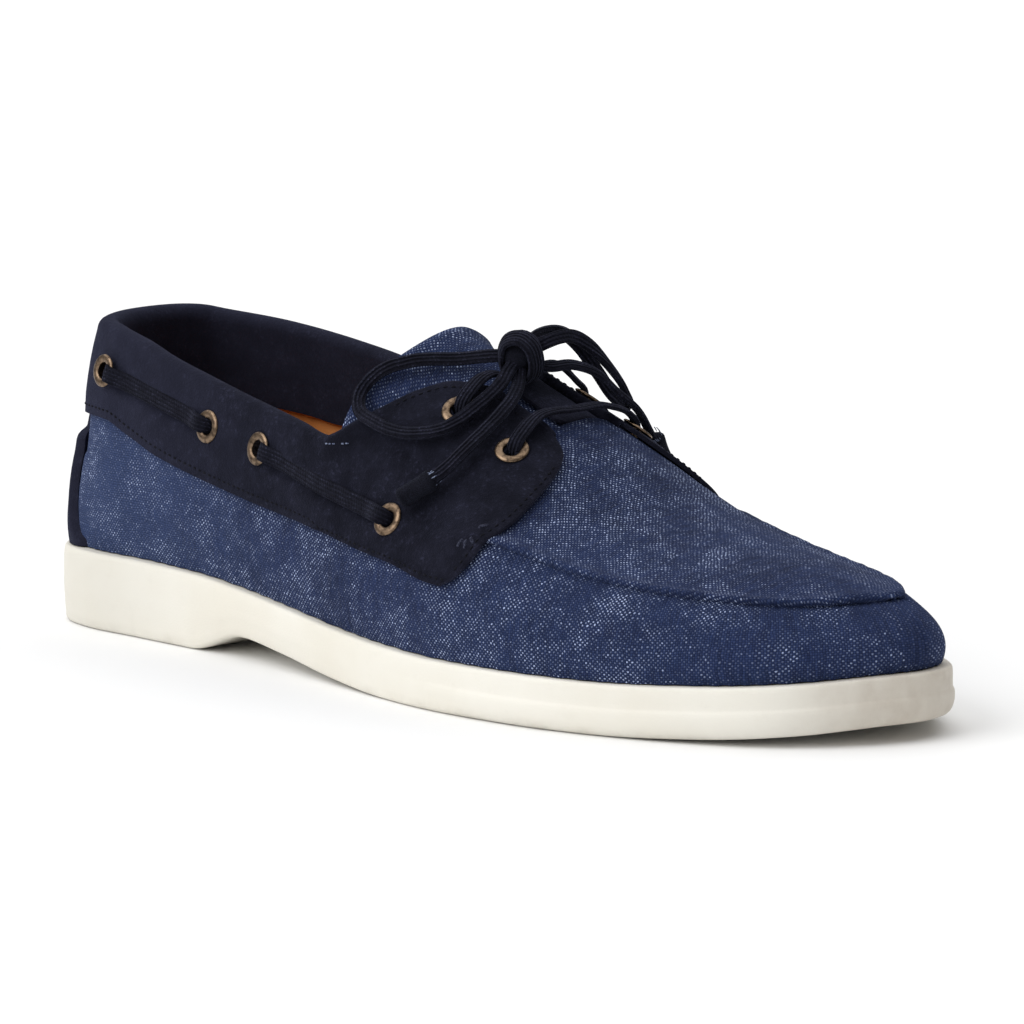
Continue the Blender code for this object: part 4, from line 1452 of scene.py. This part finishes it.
# %% Insole
INSOLE_RIM = 0.0024
INSOLE_EDGE = [(0.0, 0.1), (0.0, 0.75), (0.15, 0.93), (0.5, 1.0), (1.2, 1.0), (2.5, 0.98), (5.0, 0.93)]
INSOLE_THICKNESS = 0.0030


def build_insole():
    s = np.linspace(0, 2, 361)
    along = along_at(t_of(s))
    floor_height = look_up(SOLE, "top", along) * MM + GAP
    rim = -(look_up(SOLE, "feather", along) * MM + INSOLE_RIM)
    rows = [sole_ring(s, rim - distance * MM, floor_height + INSOLE_THICKNESS * share)
            for distance, share in INSOLE_EDGE]
    inner = rows[-1]
    spine_x = np.clip(inner[:, 0], *SOLE_SPINE)
    spine_y = np.interp(spine_x, *middle_line(inner))
    for share in np.linspace(0, 1, 15)[1:]:
        flat = inner[:, :2] * (1 - share) + np.stack([spine_x, spine_y], -1) * share
        here = (flat[:, 0] + LENGTH / 2) / LENGTH * 100
        height = look_up(SOLE, "top", here) * MM + GAP + INSOLE_THICKNESS * (0.93 - 0.18 * ease(share))
        rows.append(np.concatenate([flat, height[:, None]], -1))
    points = np.stack(rows)
    piece = sheet_grid("insole_leather", points, points[..., :2].copy())
    piece.data.materials.append(tan_lining)
    weld(piece, 3e-5)
    thicken(piece, 0.0008, -1)
    face_out(piece)
    smooth(piece, 40)
    return piece


insole = build_insole()
print("insole", faces_of(insole), "faces")


# %% [markdown]
# ## Eyelets
#
# An eyelet is a brass tube whose top is rolled outwards over the suede. Its ring is a torus pressed
# flat, and the tube is an open cylinder joined to it, reaching down into the hole that is left
# open in the suede.

# %% Eyelets
EYELET_RADIUS = 0.00345
EYELET_RING = 0.00118


def model_eyelet():
    """One eyelet round the origin, with its axis up."""
    clean_start()
    bpy.ops.mesh.primitive_torus_add(major_segments=48, minor_segments=20,
                                     major_radius=EYELET_RADIUS, minor_radius=EYELET_RING)
    ring = bpy.context.object
    only(ring)
    bpy.ops.object.mode_set(mode="EDIT")
    mesh = bmesh.from_edit_mesh(ring.data)
    for vertex in mesh.verts:
        vertex.co.z *= 0.50
        if vertex.co.z < 0:
            vertex.co.z *= 0.55
    for edge in mesh.edges:
        radii = [Vector((v.co.x, v.co.y)).length for v in edge.verts]
        edge.select = max(radii) < EYELET_RADIUS - EYELET_RING * 0.98
    bmesh.update_edit_mesh(ring.data)
    bpy.ops.object.mode_set(mode="OBJECT")
    clean_start()
    bpy.ops.mesh.primitive_cylinder_add(vertices=48, radius=EYELET_RADIUS - EYELET_RING * 0.98, depth=0.0034,
                                        end_fill_type="NOTHING", location=(0, 0, -0.0015))
    tube = bpy.context.object
    bpy.ops.object.transform_apply(location=True)
    turn_faces(tube)
    only(ring)
    tube.select_set(True)
    bpy.ops.object.join()
    smooth(ring, 60)
    return bpy.context.object


def set_eyelets():
    model = model_eyelet()
    eyelets = {}
    for side_name, side in SIDES.items():
        for name in EYELETS:
            middle, normal = on_band(side, *eyelet_place(side, name), SUEDE_TOP + 0.00035)
            eyelet = model.copy()
            eyelet.data = model.data.copy()
            eyelet.name = f"ring_{name}_{side_name}"
            bpy.context.collection.objects.link(eyelet)
            turn = Vector(normal).to_track_quat("Z", "Y").to_matrix().to_4x4()
            turn.translation = Vector(middle)
            eyelet.data.transform(turn)
            eyelet.data.materials.append(brass)
            eyelets[f"eyelet_{name}_{side_name}"] = eyelet
    bpy.data.objects.remove(model)
    return eyelets


eyelets = set_eyelets()
print("eyelets", len(eyelets))

# %% [markdown]
# ## The lace
#
# One flat lace runs round the heel through the side eyelets and ends in the bow. A flat lace is not
# a tube: it has a broad face that turns as the lace turns, so each route carries, besides its
# points, the way that the broad face looks at each of them. The profile is a flat oval with a few
# shallow ribs along it.

# %% A flat lace along a route
LACE_WIDTH = 0.0048
LACE_THICKNESS = 0.0014


def smooth_line(points, steps):
    """Evenly spaced points on a smooth curve through points in metres, and each one's share of the route."""
    points = np.array(points, float)
    share = reach(points[None], 1)[0]
    fine = np.linspace(0, share[-1], 40 * len(points))
    curve = np.stack([round_curve(share, points[:, axis], fine) for axis in range(3)], 1)
    length = reach(curve[None], 1)[0]
    even = np.linspace(0, length[-1], steps + 1)
    line = np.stack([np.interp(even, length, curve[:, axis]) for axis in range(3)], 1)
    return line, np.interp(even, length, fine), share, length[-1]


def lace_profile(width, thickness, ribs):
    """Closed profile: across, out, as a flat oval with ribs on both faces."""
    angle = np.linspace(0, 2 * pi, 41)
    across = np.sign(np.cos(angle)) * np.abs(np.cos(angle)) ** 0.62
    out = np.sign(np.sin(angle)) * np.abs(np.sin(angle)) ** 0.62
    rib = 1 + 0.11 * np.cos(across * pi * ribs) * (1 - across**4)
    return across * width / 2, out * rib * thickness / 2


def flat_lace(name, points, facing, width=LACE_WIDTH, thickness=LACE_THICKNESS, ribs=4,
              taper=None, per_metre=1100):
    """A flat lace through points (metres) whose broad face looks along facing at each point."""
    _, _, _, length = smooth_line(points, 2)
    line, where, share, length = smooth_line(points, max(12, round(length * per_metre)))
    facing = np.array(facing, float)
    look = np.stack([steady(share, facing[:, axis], where) for axis in range(3)], 1)
    tangent = np.gradient(line, axis=0)
    tangent /= np.linalg.norm(tangent, axis=1, keepdims=True)
    look -= tangent * np.einsum("ij,ij->i", look, tangent)[:, None]
    look /= np.linalg.norm(look, axis=1, keepdims=True)
    wide = np.cross(tangent, look)
    across, out = lace_profile(width, thickness, ribs)
    scale = np.ones(len(line)) if taper is None else np.interp(where / share[-1], *np.array(taper).T)
    rings = (line[None] + wide[None] * (across[:, None] * scale[None])[..., None]
             + look[None] * (out[:, None] * np.minimum(scale * 1.15, 1)[None])[..., None])
    run = np.broadcast_to(np.linspace(0, length, len(line)), rings.shape[:2])
    round_run = np.broadcast_to(reach(np.stack([across, out], 1)[None], 1)[0][:, None], rings.shape[:2])
    piece = sheet_grid(name, rings, np.stack([run, round_run], -1))
    piece.data.materials.append(lace)
    weld(piece, 2e-6)
    only(piece)
    bpy.ops.object.mode_set(mode="EDIT")
    bpy.ops.mesh.select_all(action="DESELECT")
    bpy.ops.mesh.select_non_manifold()
    bpy.ops.mesh.fill_holes(sides=0)
    bpy.ops.object.mode_set(mode="OBJECT")
    face_out(piece)
    smooth(piece, 50)
    return piece, line, length


# %% The lace along the collar
def lace_bar(side_name, side, name, first, last):
    """From inside one hole, over its rim, along the suede, over the next rim and down its hole."""
    (a0, h0), (a1, h1) = EYELETS[first], EYELETS[last]
    path = np.array([
        (0.000, -3.4), (0.004, -0.9), (0.016, 1.6), (0.055, 3.2), (0.105, 3.1), (0.17, 1.9), (0.30, 1.50),
        (0.5, 1.50), (0.70, 1.50), (0.83, 1.9), (0.895, 3.1), (0.945, 3.2), (0.984, 1.6), (0.996, -0.9),
        (1.0, -3.4)])
    span = (a1 - a0) * LENGTH * 10
    share = path[:, 0].copy()
    near = np.array([0, 0.2, 0.9, 2.6, 4.7, 8.0])
    share[:6] = near / span
    share[-6:] = 1 - near[::-1] / span
    share[6:9] = [0.35, 0.5, 0.65]
    along = a0 + (a1 - a0) * share
    height = h0 + (h1 - h0) * share
    points = []
    normals = []
    for a, h, off in zip(along, height, path[:, 1]):
        point, normal = on_band(side, a, h, off * MM)
        points.append(point)
        normals.append(normal)
    points, normals = np.array(points), np.array(normals)
    ahead = points[-1] - points[0]
    ahead /= np.linalg.norm(ahead)
    facing = normals.copy()
    for i, mix in ((0, 1.0), (1, 0.95), (2, 0.6), (3, 0.15)):
        facing[i] = normals[i] * (1 - mix) - ahead * mix
        facing[-1 - i] = normals[-1 - i] * (1 - mix) + ahead * mix
    piece, _, _ = flat_lace(f"lace_{name}_{side_name}", points, facing, LACE_WIDTH, 0.0010, 5)
    return piece


bars = {}
for side_name, side in SIDES.items():
    for name, (first, last) in LACE_BARS.items():
        bars[f"lace_bar_{name}_{side_name}"] = lace_bar(side_name, side, name, first, last)
print("bars", len(bars))


# %% The lace across the throat
CROSSINGS = {
    "front": ("throat_2", [(34.0, -12.5, 74.6), (35.0, 0.0, 75.4), (35.4, 12.5, 75.0)]),
    "rear": ("throat_1", [(15.4, -12.5, 83.9), (16.2, -3.0, 82.1), (18.0, 11.5, 84.4)]),
}


OUT_OF_EYELET = ((0.0, -3.2, 1.0), (0.2, -0.8, 0.95), (0.9, 1.7, 0.6), (2.6, 3.5, 0.2), (4.8, 4.0, 0.0))


def crossing(name, eyelet, middle_points):
    points, facing = [], []
    halves = []
    for side in (LATERAL, MEDIAL):
        middle, normal = on_band(side, *eyelet_place(side, eyelet))
        towards = np.array(middle_points[0 if side == LATERAL else -1]) * MM - middle
        towards -= normal * np.dot(towards, normal)
        towards /= np.linalg.norm(towards)
        half = [(middle + normal * off * MM + towards * ahead * MM, normal * (1 - mix) - towards * mix)
                for ahead, off, mix in OUT_OF_EYELET]
        halves.append(half)
    for point, look in halves[0]:
        points.append(point)
        facing.append(look)
    for point in middle_points:
        points.append(np.array(point) * MM)
        facing.append(np.array([0.1, 0.0, 1.0]))
    for point, look in halves[1][::-1]:
        points.append(point)
        facing.append(look)
    piece, _, _ = flat_lace(f"lace_across_{name}", points, facing, 0.0042, 0.0015)
    return piece


crossings = {f"lace_cross_{name}": crossing(name, *row) for name, row in CROSSINGS.items()}

# %% [markdown]
# ## The bow
#
# The bow is what a person sees first. Its two loops and two ends keep the routes and the lengths
# that the solids have. The knot is a wrapped turn of the same lace round a core.

# %% Loops and ends
KNOT_CENTRE = np.array([17.5, -3.0, 88.3])
ROUTES = {
    "lace_loop_left": [
        (12.8, -7.9, 88.2), (4.4, -12.2, 87.0), (-6.6, -20.4, 86.0), (-12.6, -25.4, 83.3),
        (-15.6, -29.8, 78.1), (-13.0, -33.2, 74.2), (-4.5, -35.7, 71.5), (6.4, -35.0, 69.6),
        (17.0, -30.0, 71.6), (20.6, -22.0, 76.8), (21.0, -13.5, 82.0), (19.5, -9.0, 84.9),
    ],
    "lace_loop_right": [
        (21.8, 2.2, 91.6), (22.8, 7.0, 92.8), (22.4, 12.5, 92.4), (22.6, 18.0, 89.6),
        (24.2, 23.5, 84.0), (26.6, 27.4, 77.4), (25.4, 30.6, 72.4), (19.6, 31.4, 73.6),
        (15.0, 29.0, 80.4), (12.6, 24.6, 87.4), (12.4, 18.4, 91.8), (13.6, 11.0, 92.8),
        (15.2, 4.9, 92.0),
    ],
    "lace_end_left": [
        (21.0, -6.6, 83.0), (25.0, -12.0, 79.6), (27.2, -19.0, 75.6), (27.2, -26.0, 71.0),
        (26.6, -32.6, 66.6), (24.6, -38.0, 61.8),
    ],
    "lace_end_right": [
        (22.6, 1.6, 85.4), (26.4, 8.0, 85.6), (29.0, 14.6, 83.0), (31.0, 20.6, 77.4),
        (31.8, 27.4, 72.0), (31.1, 32.4, 66.0),
    ],
}
TIPS = {
    "lace_tip_left": ((23.8, -39.8, 60.4), (15.2, -45.4, 53.4)),
    "lace_tip_right": ((30.8, 34.2, 64.2), (29.4, 40.6, 55.0)),
}
FACING = {
    "lace_loop_left": [
        (0.5, -0.55, 0.5), (0.5, -0.55, 0.5), (0.55, -0.6, 0.5), (0.5, -0.6, 0.5), (0.55, -0.7, 0.45),
        (0.7, -0.7, 0.2),
        (0.6, -0.7, 0.4), (0.2, -0.7, 0.7), (0.3, -0.65, 0.7), (0.55, -0.5, 0.6), (0.7, -0.4, 0.5),
        (0.7, -0.5, 0.5), (0.6, -0.6, 0.5), (0.6, -0.6, 0.5)],
    "lace_loop_right": [
        (0.6, -0.6, 0.3), (0.6, -0.6, 0.3), (0.65, -0.6, 0.2), (0.65, -0.6, 0.2), (0.7, -0.3, 0.3),
        (0.6, 0.3, 0.5),
        (0.6, 0.6, 0.4), (0.6, 0.6, -0.4), (-0.5, 0.4, -0.6), (-0.6, 0.5, -0.3), (-0.6, 0.5, 0.1),
        (-0.5, 0.5, 0.2), (-0.6, 0.5, 0.1),
        (-0.6, 0.5, 0.1), (-0.6, 0.5, 0.1)],
    "lace_end_left": [
        (0.6, -0.4, 0.6), (0.6, -0.4, 0.6), (0.6, -0.4, 0.6), (0.6, -0.45, 0.6), (0.45, -0.55, 0.6),
        (0.35, -0.6, 0.6),
        (0.35, -0.65, 0.6), (0.35, -0.65, 0.6)],
    "lace_end_right": [
        (0.5, 0.0, 0.9), (0.5, 0.0, 0.9), (0.5, 0.1, 0.9), (0.5, 0.4, 0.8), (0.5, 0.5, 0.7), (0.4, 0.6, 0.6),
        (0.4, 0.65, 0.6), (0.4, 0.65, 0.6)],
}
BOW_WIDTH = 0.0037
BOW_THICKNESS = 0.0019
INTO_KNOT = 0.6
INTO_BARREL = 0.2


def lead_in(point):
    """A point inside the knot, on the way from a route's end to the middle of the knot."""
    return point + (KNOT_CENTRE - point) * INTO_KNOT


cords = {}
for name, route in ROUTES.items():
    route = np.array(route)
    if "end" in name:
        start, end = np.array(TIPS[name.replace("end", "tip")])
        last = start + (end - start) * INTO_BARREL
    else:
        last = lead_in(route[-1])
    route = np.vstack([lead_in(route[0]), route, last])
    piece, line, length = flat_lace(name.replace("lace", "bow"), route * MM, FACING[name],
                                    BOW_WIDTH, BOW_THICKNESS, 3)
    cords[name] = (piece, line, length)
    print(name, "is", round(length * 1000), "mm long")


# %% Knot
KNOT_CORE = np.array([4.6, 4.6, 3.7])
WRAP = ((-4.2, -3.8, -1.5), (-5.0, 0.6, 0.6), (-3.6, 4.2, 2.2), (-0.2, 5.2, 3.6), (2.9, 3.2, 4.4),
        (4.4, -0.6, 4.3), (4.2, -4.4, 3.2), (2.6, -6.6, 0.6))
TAIL = ((-2.4, 4.2, -3.0), (1.4, 5.4, -2.2), (4.4, 3.4, -1.4), (5.4, 0.0, -0.6), (4.4, -3.6, -0.6),
        (1.8, -5.0, -1.0))


def knot():
    """A core and two turns of lace over it."""
    clean_start()
    bpy.ops.mesh.primitive_uv_sphere_add(segments=32, ring_count=20, radius=1)
    core = bpy.context.object
    count = len(core.data.vertices)
    spots = np.empty(count * 3)
    core.data.vertices.foreach_get("co", spots)
    spots = spots.reshape(-1, 3)
    spots = np.sign(spots) * np.abs(spots) ** 0.85 * KNOT_CORE * MM + KNOT_CENTRE * MM
    core.data.vertices.foreach_set("co", spots.reshape(-1))
    core.data.materials.append(lace)
    smooth(core, 60)
    across, outward_way = np.array([0.695, 0.719, 0.0]), np.array([0.719, -0.695, 0.0])

    def turn(name, path, width):
        """A turn of lace; a row is across the shoe's front, up and out, in mm from the knot's middle."""
        path = np.array(path, float)
        spots = path[:, :1] * across + path[:, 2:] * outward_way + path[:, 1:2] * np.array([0, 0, 1.0])
        return flat_lace(name, (spots + KNOT_CENTRE) * MM, spots, width=width, thickness=0.0016)[0]

    wrap = turn("wrap", WRAP, 0.0056)
    tail = turn("tail", TAIL, 0.0050)
    return join("bow_knot", [core, wrap, tail], 1e-7)


knot_piece = knot()

# %% [markdown]
# ## Lace ends
#
# The last centimetre of a leather lace is slit, rolled up and pulled through itself, which leaves a
# little barrel with a few fibres standing out of its top.

# %% Barrels
BARREL_RADIUS = 0.0029


def barrel(name, start, end, seed):
    start, end = Vector(start) * MM, Vector(end) * MM
    depth = (end - start).length
    clean_start()
    bpy.ops.mesh.primitive_cylinder_add(vertices=36, radius=BARREL_RADIUS, depth=depth,
                                        end_fill_type="TRIFAN")
    body = bpy.context.object
    only(body)
    bpy.ops.object.mode_set(mode="EDIT")
    mesh = bmesh.from_edit_mesh(body.data)
    walls = [edge for edge in mesh.edges if abs(edge.verts[0].co.z - edge.verts[1].co.z) > depth / 2]
    bmesh.ops.subdivide_edges(mesh, edges=walls, cuts=24)
    for vertex in mesh.verts:
        x, y, z = vertex.co
        share = z / depth + 0.5
        angle = np.arctan2(y, x)
        coil = 0.10 * np.abs(np.sin((angle + share * 5.0) / 2 + seed)) ** 6
        end_round = min(1.0, (max(share, 1e-3) / 0.12) ** 0.45, (max(1 - share, 1e-3) / 0.10) ** 0.45)
        swell = 1.0 + 0.05 * sin(share * 7 + seed) - coil
        grow = end_round * swell if (x * x + y * y) > 1e-9 else 1
        vertex.co.x *= grow
        vertex.co.y *= grow
    bmesh.update_edit_mesh(body.data)
    bpy.ops.object.mode_set(mode="OBJECT")
    turn = (end - start).to_track_quat("Z", "Y").to_matrix().to_4x4()
    turn.translation = (start + end) / 2
    body.data.transform(turn)
    body.data.materials.append(lace)
    body.name = name
    smooth(body, 60)
    return body


barrels = {name: barrel(name.replace("lace", "bow"), *row, seed)
           for seed, (name, row) in enumerate(TIPS.items())}

# %% [markdown]
# ## Stitches
#
# A stitch is a short fat piece of thread whose ends dive into the hide. One is modelled, and each
# seam is a row of its copies, turned along the seam and joined to one mesh.

# %% One stitch, and a row of them
def model_stitch(length, radius):
    """A stitch along X that lies on the floor of its own frame, with sunk ends."""
    clean_start()
    bpy.ops.mesh.primitive_cylinder_add(vertices=8, radius=radius, depth=length, rotation=(0, pi / 2, 0))
    stitch = bpy.context.object
    bpy.ops.object.transform_apply(rotation=True)
    only(stitch)
    bpy.ops.object.mode_set(mode="EDIT")
    mesh = bmesh.from_edit_mesh(stitch.data)
    sides = [edge for edge in mesh.edges if abs(edge.verts[0].co.x - edge.verts[1].co.x) > length / 2]
    bmesh.ops.subdivide_edges(mesh, edges=sides, cuts=5)
    for vertex in mesh.verts:
        share = min(abs(vertex.co.x) / (length / 2), 1)
        vertex.co.y *= 1 - 0.35 * share**3
        vertex.co.z = vertex.co.z * (1 - 0.35 * share**3) + radius * (0.05 - 1.3 * share**3)
    bmesh.update_edit_mesh(stitch.data)
    bpy.ops.object.mode_set(mode="OBJECT")
    smooth(stitch, 70)
    return stitch


def sew(name, spots, thread):
    """Copies of stitches, each at a middle, a direction and a normal, joined to one piece."""
    rows = []
    for model, middle, ahead, normal in spots:
        out = Vector(normal).normalized()
        run = Vector(ahead)
        run = (run - out * run.dot(out)).normalized()
        aside = out.cross(run)
        copy = model.copy()
        copy.data = model.data.copy()
        bpy.context.collection.objects.link(copy)
        turn = Matrix((run, aside, out)).transposed().to_4x4()
        turn.translation = Vector(middle)
        copy.data.transform(turn)
        rows.append(copy)
    only(rows[0])
    for row in rows:
        row.select_set(True)
    bpy.ops.object.join()
    piece = bpy.context.object
    piece.name = name
    piece.data.materials.append(thread)
    print(name, len(rows), "stitches")
    return piece


def along_seam(model, points, normals, spacing, start=0.0):
    """Spots every spacing metres along a line on the hide."""
    travel = reach(points[None], 1)[0]
    spots = []
    for here in np.arange(start + spacing / 2, travel[-1] - spacing / 4, spacing):
        middle = [np.interp(here, travel, points[:, axis]) for axis in range(3)]
        ahead = [np.interp(here + 4e-4, travel, points[:, axis]) for axis in range(3)]
        normal = [np.interp(here, travel, normals[:, axis]) for axis in range(3)]
        spots.append((model, middle, np.array(ahead) - middle, normal))
    return spots


# %% Seams of the collar band
SEAM_IN = 0.0023
STITCH_SPACING = 0.0023


def band_spot(s, up):
    """A point on the band's outer face and the normal there."""
    level = band_level(s, up)
    out = band_offset(s) + SUEDE / 2 + suede_relief(s, up)
    return place(s, level, out), around_normal(s, level)


def band_height(s):
    return np.linalg.norm(around(s, band_level(s, 1.0)) - around(s, band_level(s, 0.0)), axis=-1)


def band_seams(model):
    spots = []
    front = ends_of_band(0.06) - 0.004
    s = np.linspace(-front, front, 900)
    spots += along_seam(model, *band_spot(s, SEAM_IN / band_height(s)), STITCH_SPACING)
    for side in SIDES.values():
        up = np.linspace(0.10, 0.86, 200)
        t = ends_of_band(up) - 0.0035 - 0.001 * up
        s = t if side == LATERAL else 2 - t
        spots += along_seam(model, *band_spot(s, up), STITCH_SPACING)
        t = np.linspace(progress(48.5), progress(60.6), 200)
        s = t if side == LATERAL else 2 - t
        spots += along_seam(model, *band_spot(s, 1 - SEAM_IN / band_height(s)), STITCH_SPACING)
    return spots


stitch = model_stitch(0.0016, 0.00027)
dark_rows = sew("stitches_collar", band_seams(stitch), navy_thread)

# %% Hand stitches
CORNER_MIDDLE = (63.2, 47.0)
CORNER_FAN = (250, 285, 320, 20)
CORNER_REACH = np.array([1.6, 4.4])
CORNER_THREAD = 0.00052
PALE_ROWS = (((43.0, 44.2), (63.4, 63.7)), ((44.8, 45.9), (63.9, 64.3)))


def corner_stitches():
    """Four thick waxed stitches fan out from the front corner of each flap, on both sides of the shoe."""
    spots, models = [], []
    for side in SIDES.values():
        for angle in CORNER_FAN:
            along = CORNER_MIDDLE[0] + CORNER_REACH * cos(radians(angle)) * MM / LENGTH * 100
            height = CORNER_MIDDLE[1] + CORNER_REACH * sin(radians(angle))
            ends, normals = on_band(side, along, height, SUEDE_TOP + 0.0002)
            run = ends[1] - ends[0]
            model = model_stitch(float(np.linalg.norm(run)), CORNER_THREAD)
            models.append(model)
            spots.append((model, ends.mean(axis=0), run, normals.mean(axis=0)))
    piece = sew("stitches_corner", spots, slate_thread)
    for model in models:
        bpy.data.objects.remove(model)
    return piece


def pale_stitches(model):
    """The few stitches in pale thread where the collar turns up into the flap."""
    spots = []
    for side in SIDES.values():
        for along, height in PALE_ROWS:
            points, normals = on_band(side, np.linspace(*along, 30), np.linspace(*height, 30), SUEDE_TOP)
            spots += along_seam(model, points, normals, 0.0014)
    return sew("stitches_pale", spots, pale_thread)


def fray(model):
    """Broken fibres that stand out of the top of each barrel."""
    rng = np.random.default_rng(11)
    spots = []
    for start, end in TIPS.values():
        start, end = np.array(start) * MM, np.array(end) * MM
        axis = (end - start) / np.linalg.norm(end - start)
        aside = np.cross(axis, (0, 0, 1.0))
        aside /= np.linalg.norm(aside)
        for angle in rng.uniform(0, 2 * pi, FIBRES):
            out = aside * cos(angle) + np.cross(axis, aside) * sin(angle)
            middle = start + out * 0.0024 + axis * rng.uniform(-0.0004, 0.0022)
            way = -axis + out * rng.uniform(-0.2, 0.7) + np.cross(axis, out) * rng.uniform(-0.7, 0.7)
            spots.append((model, middle, way, out))
    return sew("lace_fray", spots, pale_thread)


FIBRES = 15
fine = model_stitch(0.0017, 0.00013)
short = model_stitch(0.0010, 0.00022)
stitching = [dark_rows, corner_stitches(), pale_stitches(short), fray(fine)]
for model in (stitch, fine, short):
    bpy.data.objects.remove(model)

# %% [markdown]
# ## Putting it together
#
# Every piece rides on the shoe's one body, is listed under its finish and stands for the solid that
# it dresses, which is hidden. The loops and ends of the bow hide their solids too; each prints how long it
# is.

# %% Bodies, slots and the solids that the pieces stand for
SLOTS = {
    "blue_canvas": [canvas_body, plug, tongue],
    "navy_suede": [collar, inner_flap, heel_strip],
    "white_rubber": [sole],
    "tan_leather": [insole],
    "antique_brass": [*eyelets.values()],
    "navy_lace": [*bars.values(), *crossings.values(), knot_piece, *barrels.values(),
                  *(piece for piece, _, _ in cords.values()), *stitching],
}
for slot, pieces in SLOTS.items():
    for piece in pieces:
        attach(piece, "root")

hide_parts("upper")
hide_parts("collar_band")
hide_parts("heel_strip")
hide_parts("tongue")
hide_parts("outsole")
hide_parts("insole")
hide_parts("lace_knot")
for group in (eyelets, bars, crossings, barrels):
    for node, piece in group.items():
        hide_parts(node)

# %% The free cords
for node, (piece, line, length) in cords.items():
    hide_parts(node)
    tip = node.replace("end", "tip")
    on_it = [barrels[tip]] if tip in barrels else []
print("pieces", sum(len(pieces) for pieces in SLOTS.values()))

# %% [markdown]
# ## Floor and light
#
# The shoe stands on a pale floor that runs out to white. Sun lamps with wide discs light it: their
# light doesn't weaken with distance, so the floor stays even, and a wide disc gives soft shadows.

# %% Floor, lights and world
def soft_sun(name, towards, strength, spread):
    """A sun in the direction towards, whose disc is spread degrees wide."""
    clean_start()
    bpy.ops.object.light_add(type="SUN", location=Vector(towards) * 2)
    light = bpy.context.object
    light.name = name
    light.data.energy = strength
    light.data.angle = radians(spread)
    light.rotation_mode = "QUATERNION"
    light.rotation_quaternion = (-Vector(towards)).to_track_quat("-Z", "Y")
    return light


clean_start()
bpy.ops.mesh.primitive_plane_add(size=60, location=(0, 0, 0))
floor = bpy.context.object
floor.name = "floor"
floor_paint = Finish("pale_floor")
paint = floor_paint.shade(Base_Color=(0.90, 0.90, 0.90), Roughness=0.9, Specular_IOR_Level=0.1)
floor.data.materials.append(paint)

soft_sun("key", (-0.25, -0.85, 0.60), 1.5, 50)
soft_sun("top", (-0.25, 0.10, 1.0), 2.1, 100)

world = bpy.data.worlds.new("studio")
world.use_nodes = True
world.node_tree.nodes["Background"].inputs["Color"].default_value = (1, 1, 1, 1)
world.node_tree.nodes["Background"].inputs["Strength"].default_value = 0.30
bpy.context.scene.world = world
bpy.context.scene.view_settings.view_transform = "Standard"
